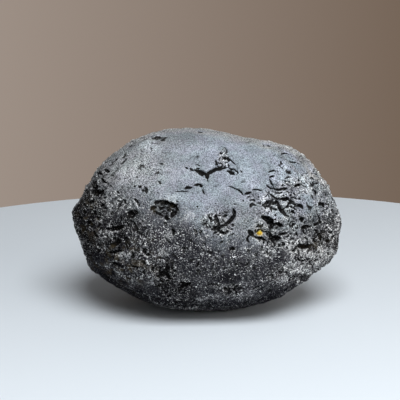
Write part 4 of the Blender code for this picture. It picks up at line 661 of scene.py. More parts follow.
# --- Ground left smooth at the rough ends: right, up, half length and half height, in mm ---
SMOOTH_GROUND = (
    (-28.6, -11.3, 2.4, 2.4),
    (-26.5, -14.7, 2.4, 2.4),
    (-23.9, -17.0, 2.6, 2.2),
    (-20.4, -18.6, 2.8, 2.2),
    (-16.0, -18.6, 3.4, 2.6),
    (-24.1, 0.8, 1.8, 1.8),
    (-20.7, -6.3, 1.4, 2.6),
    (19.9, -10.0, 2.4, 1.8),
    (20.4, -17.6, 3.4, 1.6),
    (26.0, 4.0, 2.0, 2.4),
    (18.0, 1.2, 2.6, 1.2),
)


# --- Broken sides of the crumb: the way they face, in degrees, and how far out they are ----
CRUMB_SIDES = ((35, 0.8), (135, 0.62), (225, 0.78), (270, 0.85), (350, 0.95))


# --- Warm gritty ground and stained ground: right, up, half length and half height, share --
GRITTY = (
    (-21.0, 14.0, 14.0, 9.0, 0.7),
    (-14.0, 21.0, 12.0, 4.0, 0.5),
    (9.0, -1.0, 10.0, 6.0, 0.45),
    (16.0, 2.5, 4.0, 2.0, 0.3),
)
STAINED = (
    (-21.0, -11.0, 7.7, 5.5, 1.0),
    (-10.7, 2.6, 3.4, 2.6, 0.9),
    (-30.0, 0.0, 4.0, 6.0, 0.6),
    (14.0, -3.4, 1.6, 1.6, 1.0),
    (29.5, -7.0, 4.0, 3.0, 0.5),
)


# --- Zones of the stone, in mm on the face plane -------------------------------------------
# Waves are rows of height, pitch and shift. A fade goes from 0 to 1 between its two values.
ZONE_WAVES = ((3.0, 6, 0.0), (1.5, 2.2, 7.7))
ROUGH_FOOT = -5  # height from which the edges of both rough ends are measured
LEFT_ROUGH = -13  # where the left end stops at that height
LEFT_LEAN = 0.7  # and how much further left it stops for each mm up
RIGHT_ROUGH = 14  # where the right end starts, between its foot and the brow
RIGHT_LEAN = 0.35  # how much further right it starts for each mm below the foot
BROW_FOOT = 7.4
BROW_LEAN = 2.4  # and for each mm above the foot of the brow
ROUGH_FADE = (-3, 4)
BACK_MIDDLE = -1
BACK_REACH = 9
BACK_START = 1.2
BACK_FADE = (-0.5, 1.2)
FRONT_FADE = (-0.1, 0.3)
MARK_WOBBLE = 0.06  # how far the waves bend the edges of torn and smooth ground
TORN_SPREAD = (0.9, 1.3)  # where torn ground is whole and where it ends, in half sizes
SMOOTH_SPREAD = (0.8, 1.3)
SMOOTHING = 0.9
POLISH_FOOT = (-2, 6)
POLISH_MIDDLE = 2.5
POLISH_HALF = 18
POLISH_SIDES = (0, 5)
POLISHING = 0.8
# The pale frost and painted top sheen: waves that bend its edge, its fade, and where it starts on faces
# turned up at the back.
BLOOM_AND_SHEEN_WAVES = ((2.0, 5, 1.3), (1.0, 1.8, 5.1))
BLOOM_AND_SHEEN_FADE = (-9, 4)
BACK_BLOOM_AND_SHEEN = (-0.1, 0.65)
RIM_GRIT = 0.9
RIM_FADE = (0.2, 0.6)
RIM_FOOT = (4, 12)
ACROSS_WAVES = ((0.9, 1.7, 2.2),)  # bend the patches to the side, and up and down
UPWARD_WAVES = ((0.9, 1.7, 8.8),)
PATCH_SPREAD = (0.6, 1.35)
MOTTLE_WAVES = ((1.3, 4, 6.4),)
FRONT_MOTTLE = 0.2
CORNER_SPREAD = (0.0, 1.0)

# --- Colours and noises of the glass -------------------------------------------------------
WHITE = (1.0, 1.0, 1.0)
GREEN_TINT = (0.98, 1.02, 0.99)
VIOLET_TINT = (1.02, 0.985, 1.01)
GRIT_TINT = (1.0, 0.9, 0.78)
ROUGH_TINT = (1.01, 0.975, 0.93)
# Pitch in mm, detail and roughness, then the range of the noise and what it is fitted to.
PATTERNS = {
    "tint": (3.1, 3.0, 0.5, 0.35, 0.65, 0.0, 1.0),
    "mottle": (4, 4.0, 0.6, 0.3, 0.7, 0.84, 1.16),
    "blotch": (2.2, 2.0, 0.6, 0.38, 0.64, 0.7, 1.3),
    "rub": (0.45, 2.0, 0.5, 0.45, 0.6, 0.0, 1.0),
    "grit": (0.28, 2.0, 0.7, 0.36, 0.64, 0.1, 1.9),
    "swarm": (2.6, 3.0, 0.6, 0.38, 0.62, 0.3, 1.0),
    "speck": (0.34, 2.0, 0.6, 0.42, 0.35, 0.0, 1.0),
    "stain": (2.4, 3.0, 0.5, 0.48, 0.66, 0.0, 1.0),
}
# Bright flecks: pitch in mm, detail and roughness, then where a fleck begins and is whole.
FLECKS = {
    "crest": (0.3, 2.0, 0.5, 0.535, 0.635),
    "dust_glint": (0.21, 1.0, 0.5, 0.65, 0.69),
    "chip_glint": (0.5, 2.0, 0.6, 0.635, 0.67),
    "fleck": (0.27, 2.0, 0.6, 0.62, 0.67),
}
EARTH_LOW = 0.62  # the darker grains of the earth, as a share of its colour
OLIVE = (0.33, 0.28, 0.06)

# --- Table top, lights and camera ----------------------------------------------------------
FLOOR_THICKNESS = 12 * MM
FLOOR_MIDDLE = (3.6 * MM, -27 * MM)
FLOOR_SIDES = 256
FLOOR_ROUGHNESS = 0.7
SOFT_LIGHT_PLACE = (0.09, -0.31)
SOFT_LIGHT_SIZE = (0.35, 0.3)
SOFT_LIGHT_COLOUR = (0.93, 0.97, 1.0)
FILL_PLACE = (0.5, -0.3, 0.15)
FILL_SIZE = (0.3, 0.3)
FILL_COLOUR = (1.0, 0.97, 0.93)
CAMERA_PLACE = (-1.87 * MM, -384.2 * MM, 131.5 * MM)
CAMERA_TARGET = (-1.87 * MM, 2.19 * MM, 28.01 * MM)
CAMERA_LENS = 137.4
CAMERA_SENSOR = 36
CAMERA_NEAR = 0.01
SHARP_EDGE = math.radians(40)  # edges sharper than this stay sharp on the table top
WALL_LEFT = (0.335, 0.275, 0.235)
WALL_RIGHT = (0.181, 0.133, 0.100)
WALL_EDGE = 0.13  # how far to each side the wall goes on changing
DIM_LEFT = 0.1
DIM_RIGHT = 0.22
DIM_EDGE = 0.4
WALL_FRONT = 0.75  # how far to the back the dim part ends, and how far the wall is whole
WALL_BACK = 0.95


# --- Properties ----------------------------------------------------------------------------


def colour_property(name, description, default):
    return bpy.props.FloatVectorProperty(
        name=name,
        description=description,
        default=default,
        size=3,
        min=0.0,
        max=1.0,
        subtype="COLOR",
    )


def number_property(name, description, default, most, least=0.0, unit="LENGTH"):
    return bpy.props.FloatProperty(
        name=name,
        description=description,
        default=default,
        min=least,
        max=most,
        unit=unit,
    )


class TektiteStoneProperties(bpy.types.PropertyGroup):
    """Sizes and colours of the stone"""

    glaze: colour_property(
        "Glaze", "Frosted skin of the glass, low and on the sides", (0.0235, 0.0225, 0.0275)
    )
    # Painted sheen: the paler skin where it faces up is partly frost and partly the sheen of the light
    # overhead.
    bloom_and_sheen: colour_property("Bloom", "Paler bloom on the skin where it faces up", (0.25, 0.275, 0.315))
    # Painted shade: gashes, pits and pores are darkened towards this colour, partly plain black glass and
    # partly painted shade.
    hollow_and_shade: colour_property("Hollow", "Bare black glass in gashes and pits", (0.008, 0.0075, 0.0075))
    # Painted highlights: this pale grey colours the worn patches and also the crests, the edges of the cuts
    # and the bright specks as painted highlights.
    wear_and_highlight: colour_property("Wear", "Rubbed ridges and bruised specks", (0.85, 0.85, 0.84))
    stain: colour_property("Stain", "Olive brown earth left in some pits", (0.12, 0.09, 0.045))
    lump_height: number_property("Lump height", "Rise of the low lumps all over the stone", 0.0003, 0.002)
    crumple_height: number_property(
        "Crumple height", "Rise of the crumpled ground at the two ends", 0.0005, 0.003
    )
    gash_depth: number_property("Gash depth", "Depth of a full gash", 0.001, 0.003)
    ridge_height: number_property("Ridge height", "Height of a full ridge", 0.0003, 0.001)
    grain_height: number_property("Grain height", "Rise of the fine grain", 0.00005, 0.0005)


class TektiteCrumbProperties(bpy.types.PropertyGroup):
    """Size and colour of the crumb of earth"""

    earth: colour_property("Earth", "Yellow earth", (0.66, 0.4, 0.012))
    crust: colour_property("Crust", "Pale crust on the edge of the earth", (0.9, 0.68, 0.36))
    lumpiness: number_property("Lumpiness", "Rise of the lumps on the crumb", 0.0005, 0.001)


class TektiteStageProperties(bpy.types.PropertyGroup):
    """Floor, light and camera"""

    floor: colour_property("Floor", "Pale table top", (0.72, 0.76, 0.8))
    floor_radius: number_property("Floor radius", "Radius of the round table top", 0.143, 1.0, 0.05)
    light_height: number_property(
        "Light height", "Height of the soft light over the table", 0.45, 3.0, 0.1
    )
    light_power: number_property("Light power", "Power of the soft light", 3.9, 500.0, unit="POWER")
    fill_power: number_property(
        "Fill power", "Power of the weak light from the right", 0.8, 500.0, unit="POWER"
    )


# --- Places on the stone -------------------------------------------------------------------


def lean():
    """Turns the upright face into the leaning one."""
    return Matrix.Rotation(-FACE_RISE, 3, "X")


def face_point(right, up, out=0.0):
    """Point right and up on the face plane, in mm, and some way out in front of it."""
    return FACE_CENTRE + lean() @ Vector((right, -out, up)) * MM


def on_face(thing, right, up):
    """Where the stone hides that point of the face plane from the setting-out point.
    A point just past the rim is drawn in to it."""
    eye = face_point(*SETTING_OUT)
    for pull in range(RIM_PULLS):
        share = 1 - RIM_PULL * pull
        aim_at = face_point(right * share, up * share)
        hit, place, _, _ = thing.ray_cast(eye, (aim_at - eye).normalized())
        if hit:
            return place
    raise RuntimeError(f"the mark at {right}, {up} misses the stone")


def face_axes():
    """Right, up and out of the face plane, as rows."""
    turned = np.array(lean())
    return turned @ (1, 0, 0), turned @ (0, 0, 1), turned @ (0, -1, 0)


def thrown(points):
    """Where the points fall on the face plane from the setting-out point: right and up, in mm."""
    right, up, out = face_axes()
    offset = (points - np.array(FACE_CENTRE)) / MM
    eye_right, eye_up, eye_out = SETTING_OUT
    reach = eye_out / (eye_out - offset @ out)
    return eye_right + (offset @ right - eye_right) * reach, eye_up + (offset @ up - eye_up) * reach


# --- Objects and their modifiers -----------------------------------------------------------


def pick(thing):
    """Make it the only selected object, and the active one."""
    if bpy.context.mode != "OBJECT":
        bpy.ops.object.mode_set(mode="OBJECT")
    bpy.ops.object.select_all(action="DESELECT")
    thing.select_set(True)
    bpy.context.view_layer.objects.active = thing


def apply(thing, kind, **settings):
    """Add a modifier and apply it."""
    pick(thing)
    modifier = thing.modifiers.new(kind.title(), kind)
    for name, value in settings.items():
        setattr(modifier, name, value)
    bpy.ops.object.modifier_apply(modifier=modifier.name)


def cloud(name, size, depth=2, hard=False):
    """Cloudy texture with lumps of that size."""
    texture = bpy.data.textures.new(name, "CLOUDS")
    texture.noise_scale = size
    texture.noise_depth = depth
    texture.noise_type = "HARD_NOISE" if hard else "SOFT_NOISE"
    return texture


def roughen(thing, texture, strength, middle=0.5, group=""):
    """Push the surface out and in by a texture, which leaves it where its value is the middle."""
    apply(
        thing,
        "DISPLACE",
        texture=texture,
        texture_coords="LOCAL",
        strength=strength,
        mid_level=middle,
        vertex_group=group,
    )


def add_ball(name, node, cuts):
    """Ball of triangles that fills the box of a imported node."""
    low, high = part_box(node)
    bpy.ops.object.select_all(action="DESELECT")
    bpy.ops.mesh.primitive_ico_sphere_add(subdivisions=cuts, radius=1.0, location=(low + high) / 2)
    ball = bpy.context.active_object
    ball.name = name
    bpy.ops.object.mode_set(mode="EDIT")
    bpy.ops.transform.resize(value=(high - low) / 2)
    bpy.ops.object.mode_set(mode="OBJECT")
    bpy.ops.object.transform_apply(location=True, rotation=True, scale=True)
    return ball


# --- Points, noises and weights ------------------------------------------------------------


def points_of(mesh):
    """Its points, as rows."""
    points = np.empty(len(mesh.vertices) * 3, np.float32)
    mesh.vertices.foreach_get("co", points)
    return points.reshape(-1, 3).astype(float)


def normals_of(mesh):
    """The normals of its points, as rows."""
    normals = np.empty(len(mesh.vertices) * 3, np.float32)
    mesh.vertex_normals.foreach_get("vector", normals)
    return normals.reshape(-1, 3).astype(float)


def move_points(mesh, points):
    """Put its points there."""
    mesh.vertices.foreach_set("co", points.astype(np.float32).ravel())
    mesh.update()


def ramp(values, low, high):
    """0 below low, 1 above high, smooth between."""
    t = np.clip((values - low) / (high - low), 0, 1)
    return t * t * (3 - 2 * t)


def spread(u, v, right, up, half_length, half_height):
    """How far each place lies from the middle of a mark, in its half sizes."""
    return np.hypot((u - right) / half_length, (v - up) / half_height)


def inside(distance, whole, none):
    """1 up to where a mark is whole, 0 from where there is none of it."""
    return ramp(-distance, -none, -whole)


def band(distance, middle, reach):
    """1 at the middle of a band, falling evenly to 0 at its reach."""
    return np.clip(1 - np.abs(distance - middle) / reach, 0, 1)


def noise_at(points, pitch, shift=0.0):
    """Smooth noise between about -1 and 1, one lump per pitch."""
    return np.array([noise.noise(Vector(point)) for point in points / pitch + shift])


def waves(points, rows):
    """Sum of smooth noises, each with its height, its pitch in mm and its shift."""
    return sum(height * noise_at(points, pitch * MM, shift) for height, pitch, shift in rows)


def add_group(thing, name, weights):
    """Vertex group with the weights, rounded to even steps."""
    group = thing.vertex_groups.new(name=name)
    steps = np.rint(weights * GROUP_LEVELS).astype(int)
    for step in range(1, GROUP_LEVELS + 1):
        group.add(np.flatnonzero(steps == step).tolist(), step / GROUP_LEVELS, "REPLACE")


def store(mesh, name, values):
    """Keep the values on the mesh, for the finishes to read."""
    attribute = mesh.attributes.new(name, "FLOAT", "POINT")
    attribute.data.foreach_set("value", values.astype(np.float32))


def stored(mesh, name):
    """What the mesh keeps under that name."""
    values = np.empty(len(mesh.vertices), np.float32)
    mesh.attributes[name].data.foreach_get("value", values)
    return values


# --- The blank of the stone ----------------------------------------------------------------


def smooth_guide(node):
    """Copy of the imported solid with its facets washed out."""
    guide = node.copy()
    guide.data = node.data.copy()
    guide.name = "guide"
    guide.parent = None
    bpy.context.scene.collection.objects.link(guide)
    pick(guide)
    bpy.ops.object.mode_set(mode="EDIT")
    bpy.ops.mesh.select_all(action="SELECT")
    bpy.ops.mesh.remove_doubles(threshold=MERGE_DISTANCE)
    bpy.ops.object.mode_set(mode="OBJECT")
    apply(guide, "REMESH", mode="VOXEL", voxel_size=GUIDE_VOXEL)
    apply(guide, "SMOOTH", factor=GUIDE_FACTOR, iterations=GUIDE_PASSES)
    return guide


def add_blank():
    """Fine ball of triangles drawn onto the smooth guide."""
    guide = smooth_guide(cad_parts["tektite"])
    blank = add_ball("stone", "tektite", STONE_CUTS)
    apply(
        blank,
        "SHRINKWRAP",
        target=guide,
        wrap_method="PROJECT",
        use_negative_direction=True,
        use_positive_direction=True,
    )
    bpy.data.objects.remove(guide)
    return blank


# --- Zones of the stone --------------------------------------------------------------------


def facing(normals):
    """1 on the front face, 0 on the back."""
    return ramp(normals @ face_axes()[2], *FRONT_FADE)


def front_ends(u, v, wobble):
    """Rough share of the front: both its ends, which lean in below the brow."""
    left_edge = LEFT_ROUGH - LEFT_LEAN * (v - ROUGH_FOOT)
    right_edge = RIGHT_ROUGH + BROW_LEAN * np.maximum(0, v - BROW_FOOT)
    right_edge = right_edge + RIGHT_LEAN * np.maximum(0, ROUGH_FOOT - v)
    return np.maximum(ramp(left_edge - u + wobble, *ROUGH_FADE), ramp(u - right_edge + wobble, *ROUGH_FADE))


def zones(points, normals):
    """Rough and grainy shares, from 0 to 1, of each point."""
    u, v = thrown(points)
    front = facing(normals)
    wobble = waves(points, ZONE_WAVES)
    from_middle = np.abs(u - BACK_MIDDLE) / BACK_REACH
    back_rough = ramp(from_middle - BACK_START + wobble / 2, *BACK_FADE)
    rough = front * front_ends(u, v, wobble) + (1 - front) * back_rough
    for row in TORN_GROUND:
        torn = inside(spread(u, v, *row) + MARK_WOBBLE * wobble, *TORN_SPREAD)
        rough = np.maximum(rough, front * torn)
    for row in SMOOTH_GROUND:
        smooth = inside(spread(u, v, *row) + MARK_WOBBLE * wobble, *SMOOTH_SPREAD)
        rough *= 1 - SMOOTHING * front * smooth
    polish = front * ramp(v + wobble, *POLISH_FOOT)
    polish = polish * ramp(POLISH_HALF - np.abs(u - POLISH_MIDDLE) + wobble, *POLISH_SIDES)
    grainy = 1 - POLISHING * polish * (1 - rough)
    return rough, grainy


def bloom_and_sheen_share(points, normals):
    """Share of pale frost and painted top sheen: above its edge on the front, on whatever faces up
    elsewhere.
    """
    u, v = thrown(points)
    edge = np.interp(u, *zip(*BLOOM_AND_SHEEN_EDGE))
    front = facing(normals)
    above = ramp(v - edge + waves(points, BLOOM_AND_SHEEN_WAVES), *BLOOM_AND_SHEEN_FADE)
    return front * above + (1 - front) * ramp(normals[:, 2], *BACK_BLOOM_AND_SHEEN)


def spots(rows, points):
    """Soft round spots, each fading out past its half length and half height."""
    u, v = thrown(points)
    share = np.zeros(len(points))
    for along, rise, length, height, strength in rows:
        far = ((u - along) / length) ** 2 + ((v - rise) / height) ** 2
        share = np.maximum(share, strength * np.exp(-far))
    return share


def gritty_share(points, normals):
    """Share of loose pale grit: along the upper rim of the front, and in its own spots."""
    up = thrown(points)[1]
    rim = RIM_GRIT * (1 - ramp(normals @ face_axes()[2], *RIM_FADE)) * ramp(up, *RIM_FOOT)
    return np.maximum(rim, facing(normals) * spots(GRITTY, points))


def pale_share(points, normals):
    """How pale or dark the skin is painted, from -1 to 1: partly its own tone, partly painted light and
    shade.
    """
    u, v = thrown(points)
    u = u + waves(points, ACROSS_WAVES)
    v = v + waves(points, UPWARD_WAVES)
    pale = np.zeros(len(points))
    reach = PATCH_SPREAD[1]
    for along, rise, length, height, strength in PATCHES:
        near = (np.abs(u - along) < reach * length) & (np.abs(v - rise) < reach * height)
        pale[near] += strength * inside(spread(u[near], v[near], along, rise, length, height), *PATCH_SPREAD)
    front = facing(normals)
    mottle = waves(points, MOTTLE_WAVES)
    return np.clip(front * (pale + FRONT_MOTTLE * mottle) + (1 - front) * mottle, -1, 1)


def corner_rise(points):
    """Rise of the corners of the outline, the same through the whole stone."""
    u, v = thrown(points)
    rise = np.zeros(len(points))
    for along, up, reach, height in CORNERS:
        near = np.hypot(u - along, v - up) / reach
        rise = np.maximum(rise, height * MM * inside(near, *CORNER_SPREAD))
    return rise


# --- Etched ground -------------------------------------------------------------------------


def dents(points, share, pitch, depth, shift):
    """Cupped dents side by side, with sharp crests between them. Depth where share is above 0."""
    sunk = np.zeros(len(points))
    for index in np.flatnonzero(share > DENT_SHARE):
        place = Vector(points[index]) / pitch + Vector((shift, shift, shift))
        place += noise.noise_vector(place * DENT_WARPS) * DENT_BEND
        distances, centres = noise.voronoi(place)
        own = DENT_LEAST + DENT_MORE * noise.cell(centres[0] * CELL_SPREAD)
        sunk[index] = own * max(0.0, 1 - (distances[0] / DENT_REACH) ** 2)
    return sunk * share * depth


def etch(mesh, normals, rough):
    """Raise the corners and the rough ground, and sink the dents into it."""
    noise.seed_set(SEED)
    points = points_of(mesh)
    fall = sum(dents(points, rough, pitch * MM, depth * MM, shift) for pitch, depth, shift in DENTS)
    rise = corner_rise(points) + ROUGH_RISE * rough
    move_points(mesh, points + (rise - fall)[:, None] * normals)


# --- Cut marks -----------------------------------------------------------------------------


class Carving:
    """Depth and lip height of all marks over a fine mesh."""

    def __init__(self, points, normals):
        self.points = points
        self.normals = normals
        self.depth = np.zeros(len(points))
        self.lip = np.zeros(len(points))
        self.rubbed_and_lit = np.zeros(len(points))
        self.bare_and_shaded = np.zeros(len(points))
        self.ragged = waves(points, RAGGED)
        self.tree = KDTree(len(points))
        for index, point in enumerate(points):
            self.tree.insert(point, index)
        self.tree.balance()

    def around(self, path, width):
        """Points near a path, their distance from it in half widths and its body there."""
        path = np.array([tuple(place) for place in path])
        middle = (path.min(axis=0) + path.max(axis=0)) / 2
        reach = np.linalg.norm(path - middle, axis=1).max() + width
        near = np.array([found[1] for found in self.tree.find_range(Vector(middle), reach)], int)
        places = self.points[near]
        starts = path[:-1]
        runs = path[1:] - starts
        lengths = np.maximum(np.linalg.norm(runs, axis=1), LEAST_RUN)
        whole = lengths.sum()
        before = np.cumsum(lengths) - lengths
        best = np.full(len(near), np.inf)
        along = np.zeros(len(near))
        for start, run, length, done in zip(starts, runs, lengths, before):
            t = np.clip((places - start) @ run / length**2, 0, 1)
            distance = np.linalg.norm(places - start - t[:, None] * run, axis=1)
            closer = distance < best
            best = np.where(closer, distance, best)
            along = np.where(closer, (done + t * length) / whole, along)
        body = np.sqrt(np.sin(math.pi * (BODY_START + BODY_RUN * along)))
        return near, best / (width / 2 * body) * (1 + self.ragged[near]), body

    def cut(self, path, width, depth, bare_and_shaded=0.0):
        """Groove along a path of places, thin at its ends, with steep walls and a low lip."""
        near, distance, body = self.around(path, width)
        if not len(near):
            return
        wall = np.clip(WALL_STEEPNESS * (1 - distance * distance), 0, 1)
        self.depth[near] = np.maximum(self.depth[near], depth * body * wall)
        self.bare_and_shaded[near] = np.maximum(self.bare_and_shaded[near], bare_and_shaded * wall)
        lip = LIP_RISE * depth * body * band(distance, *LIP_BAND)
        self.lip[near] = np.maximum(self.lip[near], lip)
        # Painted highlight: the edges of the gash are made pale, partly worn and partly the light they
        # catch.
        edge = EDGE_WEAR_AND_HIGHLIGHT * body * band(distance, *EDGE_BAND)
        self.rubbed_and_lit[near] = np.maximum(self.rubbed_and_lit[near], edge)

    def ridge(self, path, width, height):
        """Sharp ridge along a path of places, painted pale: partly worn, partly a painted highlight."""
        near, distance, body = self.around(path, width)
        top = body * np.clip(1 - distance * distance, 0, 1)
        self.lip[near] = np.maximum(self.lip[near], height * top)
        self.rubbed_and_lit[near] = np.maximum(self.rubbed_and_lit[near], top)

    def carved(self):
        """The points with all marks cut in and raised."""
        rise = np.where(self.depth > 0, 0, self.lip) - self.depth
        return self.points + rise[:, None] * self.normals


def rounded(path):
    """The path with its corners cut."""
    for _ in range(CORNER_CUTS):
        if len(path) < 3:
            return path
        cut = [path[0]]
        for start, end in zip(path, path[1:]):
            cut += [start.lerp(end, CORNER_CUT), start.lerp(end, 1 - CORNER_CUT)]
        path = cut + [path[-1]]
    return path


def cut_face(carving, thing, sizes):
    """Gashes and ridges of the front, each at its place."""
    for width, depth, path in GASHES:
        places = rounded([on_face(thing, right, up) for right, up in path])
        bare_and_shaded = min(1.0, GASH_BARE_AND_SHADED * depth)
        carving.cut(places, GASH_SPREAD * width * MM, depth * sizes.gash_depth, bare_and_shaded)
    for width, height, path in RIDGES:
        places = rounded([on_face(thing, right, up) for right, up in path])
        carving.ridge(places, RIDGE_SPREAD * width * MM, height * sizes.ridge_height)


def cut_torn(carving, thing, rng):
    """Short cuts every way over the torn ground."""
    for along, rise, length, height in TORN_GROUND:
        for _ in range(round(CUTS_EACH * length * height)):
            turn = rng.uniform(0, math.tau)
            reach = math.sqrt(rng.random())
            right = along + length * reach * math.cos(turn)
            up = rise + height * reach * math.sin(turn)
            way = rng.uniform(0, math.pi)
            half = rng.uniform(*TORN_HALF)
            ends = [(right + s * half * math.cos(way), up + s * half * math.sin(way)) for s in (-1, 1)]
            width = rng.uniform(*TORN_WIDTH) * MM
            depth = width * rng.uniform(*TORN_DEPTH)
            carving.cut([on_face(thing, *end) for end in ends], width, depth, CUT_BARE_AND_SHADED)


def cut_crescents(carving, rough, count, rng):
    """Bowed fingernail cuts, close together on the rough ground and rare elsewhere."""
    chance = (SMOOTH_CHANCE + rough**ROUGH_POWER) * (1 - FRONT_LESS * facing(carving.normals))
    chosen = rng.choices(range(len(rough)), weights=chance.tolist(), k=count)
    for index in chosen:
        place = Vector(carving.points[index])
        normal = Vector(carving.normals[index])
        tangent = normal.orthogonal().normalized()
        tangent.rotate(Matrix.Rotation(rng.uniform(0, math.tau), 3, normal))
        side = normal.cross(tangent)
        half = rng.uniform(*CRESCENT_HALF) * MM
        bow = rng.uniform(*CRESCENT_BOW) * half
        path = [place + tangent * s * half + side * (1 - s * s) * bow for s in CRESCENT_POINTS]
        width = rng.uniform(*CRESCENT_WIDTH) * rng.choice(CRESCENT_WIDER) * MM
        carving.cut(path, width, width * rng.uniform(*CRESCENT_DEPTH), CUT_BARE_AND_SHADED)


def cut_pits(carving, share, count, rng):
    """Small round pits."""
    chosen = rng.choices(range(len(share)), weights=share.tolist(), k=count)
    for index in chosen:
        place = Vector(carving.points[index])
        width = rng.uniform(*PIT_WIDTH) * MM
        step = Vector(carving.normals[index]).orthogonal() * PIT_LENGTH * MM
        carving.cut([place, place + step], width, width * rng.uniform(*PIT_DEPTH))


# --- Nodes of the finishes -----------------------------------------------------------------


class Nodes:
    """Short hands for building a node tree."""

    def __init__(self, tree):
        self.tree = tree

    def add(self, kind):
        """New shader node of that kind."""
        return self.tree.nodes.new("ShaderNode" + kind)

    def feed(self, socket, value):
        """Give the socket a number, a colour or what another socket holds."""
        if isinstance(value, bpy.types.NodeSocket):
            self.tree.links.new(value, socket)
        elif isinstance(value, (int, float)):
            socket.default_value = value
        else:
            socket.default_value = (*value, 1.0)

    def fit(self, value, low, high, to_low=0.0, to_high=1.0, smooth=True):
        """The value, fitted from one range to another."""
        node = self.add("MapRange")
        node.interpolation_type = "SMOOTHSTEP" if smooth else "LINEAR"
        node.inputs["From Min"].default_value = low
        node.inputs["From Max"].default_value = high
        node.inputs["To Min"].default_value = to_low
        node.inputs["To Max"].default_value = to_high
        self.feed(node.inputs["Value"], value)
        return node.outputs["Result"]

    def mix(self, share, first, second, blend="MIX"):
        """The first colour, or at a share of 1 the second."""
        node = self.add("Mix")
        node.data_type = "RGBA"
        node.blend_type = blend
        self.feed(node.inputs[0], share)
        self.feed(node.inputs[6], first)
        self.feed(node.inputs[7], second)
        return node.outputs[2]

    def tinted(self, first, second):
        """The two colours multiplied."""
        return self.mix(1.0, first, second, "MULTIPLY")

    def grey(self, value):
        """A grey of that value."""
        node = self.add("CombineColor")
        for socket in node.inputs:
            self.feed(socket, value)
        return node.outputs["Color"]

    def shaded(self, colour, value):
        """The colour made lighter or darker by a number."""
        return self.tinted(colour, self.grey(value))

    def math(self, operation, first, second):
        """Two numbers made into one."""
        node = self.add("Math")
        node.operation = operation
        self.feed(node.inputs[0], first)
        self.feed(node.inputs[1], second)
        return node.outputs["Value"]

    def times(self, first, second):
        return self.math("MULTIPLY", first, second)

    def plus(self, first, second):
        return self.math("ADD", first, second)

    def larger(self, first, second):
        return self.math("MAXIMUM", first, second)

    def smaller(self, first, second):
        return self.math("MINIMUM", first, second)


class Finish(Nodes):
    """Nodes of a new material."""

    def __init__(self, name):
        self.material = bpy.data.materials.new(name)
        self.material.use_nodes = True
        super().__init__(self.material.node_tree)
        self.shader = self.tree.nodes["Principled BSDF"]
        self.place = self.add("TexCoord").outputs["Object"]
        self.read = {}

    def stored(self, name):
        """What the mesh keeps under that name."""
        if name not in self.read:
            node = self.add("Attribute")
            node.attribute_name = name
            self.read[name] = node.outputs["Fac"]
        return self.read[name]

    def noise(self, pitch, detail=2.0, roughness=0.5):
        """Noise with lumps of that pitch, in mm."""
        node = self.add("TexNoise")
        node.inputs["Scale"].default_value = 1 / (pitch * MM)
        node.inputs["Detail"].default_value = detail
        node.inputs["Roughness"].default_value = roughness
        self.feed(node.inputs["Vector"], self.place)
        return node.outputs["Fac"]

    def pattern(self, name):
        """One of the patterns, from its noise."""
        pitch, detail, roughness, *span = PATTERNS[name]
        return self.fit(self.noise(pitch, detail, roughness), *span)

    def flecks(self, name, more):
        """One kind of bright flecks, with more of them where more is above 0."""
        pitch, detail, roughness, begins, whole = FLECKS[name]
        return self.fit(self.plus(self.noise(pitch, detail, roughness), more), begins, whole)

    def bump(self, height, distance):
        """Normals that make the height look as if it stood out that far."""
        node = self.add("Bump")
        node.inputs["Distance"].default_value = distance
        self.feed(node.inputs["Height"], height)
        return node.outputs["Normal"]

    def shade(self, name, value):
        """Give the shader's socket of that name its value."""
        self.feed(self.shader.inputs[name], value)


# --- Black glass ---------------------------------------------------------------------------


def frosted_skin(glass, sizes):
    """Dark glaze below and pale frost above, the pale part partly a painted top sheen; mottled, and warmer
    where it is gritty or rough.
    """
    rough = glass.stored("rough")
    # Painted sheen: paler where the skin faces up, partly frost and partly the light overhead.
    skin = glass.mix(glass.stored("bloom_and_sheen"), sizes.glaze, sizes.bloom_and_sheen)
    skin = glass.tinted(skin, glass.mix(glass.pattern("tint"), GREEN_TINT, VIOLET_TINT))
    skin = glass.shaded(skin, glass.pattern("mottle"))
    skin = glass.mix(rough, skin, glass.shaded(skin, glass.pattern("blotch")))
    # Painted light and shade: the patches make the skin paler or darker, partly its own tone and partly
    # painted light and shade.
    skin = glass.shaded(skin, glass.fit(glass.stored("pale"), -1.0, 1.0, 0.55, 1.55))
    skin = glass.tinted(skin, glass.mix(glass.stored("gritty"), WHITE, GRIT_TINT))
    return glass.tinted(skin, glass.mix(rough, WHITE, ROUGH_TINT))


def more_flecks(glass):
    """Above 0 where the skin is paler, partly worn and partly painted light, or gritty, and has more flecks;
    below 0 where it is darker, partly plain glass and partly painted shade.
    """
    pale = glass.stored("pale")
    more = glass.larger(glass.larger(pale, glass.stored("gritty")), 0.0)
    less = glass.smaller(pale, 0.0)
    return glass.plus(glass.times(more, 0.055), glass.times(less, 0.06))


def rubbed_and_lit_skin(glass, sizes, skin, more):
    """The skin with its pale patches, partly worn and partly painted light, and with the crests of its rough
    ground painted pale, partly worn and partly painted highlights.
    """
    pale = glass.stored("pale")
    rubbed_and_lit = glass.times(glass.fit(pale, 0.2, 1.0), glass.pattern("rub"))
    skin = glass.mix(glass.times(rubbed_and_lit, 0.3), skin, sizes.wear_and_highlight)
    # Painted highlights: the crests of the rough ground are made pale where they stand out, partly worn and
    # partly the light they catch.
    crest = glass.times(glass.flecks("crest", more), glass.fit(glass.stored("pore"), -0.03, -0.09))
    crest = glass.times(crest, glass.fit(pale, -1.0, 0.6, 0.5, 1.0))
    share = glass.times(crest, glass.fit(glass.stored("rough"), 0.0, 1.0, 0.15, 0.9))
    return glass.mix(share, skin, sizes.wear_and_highlight)


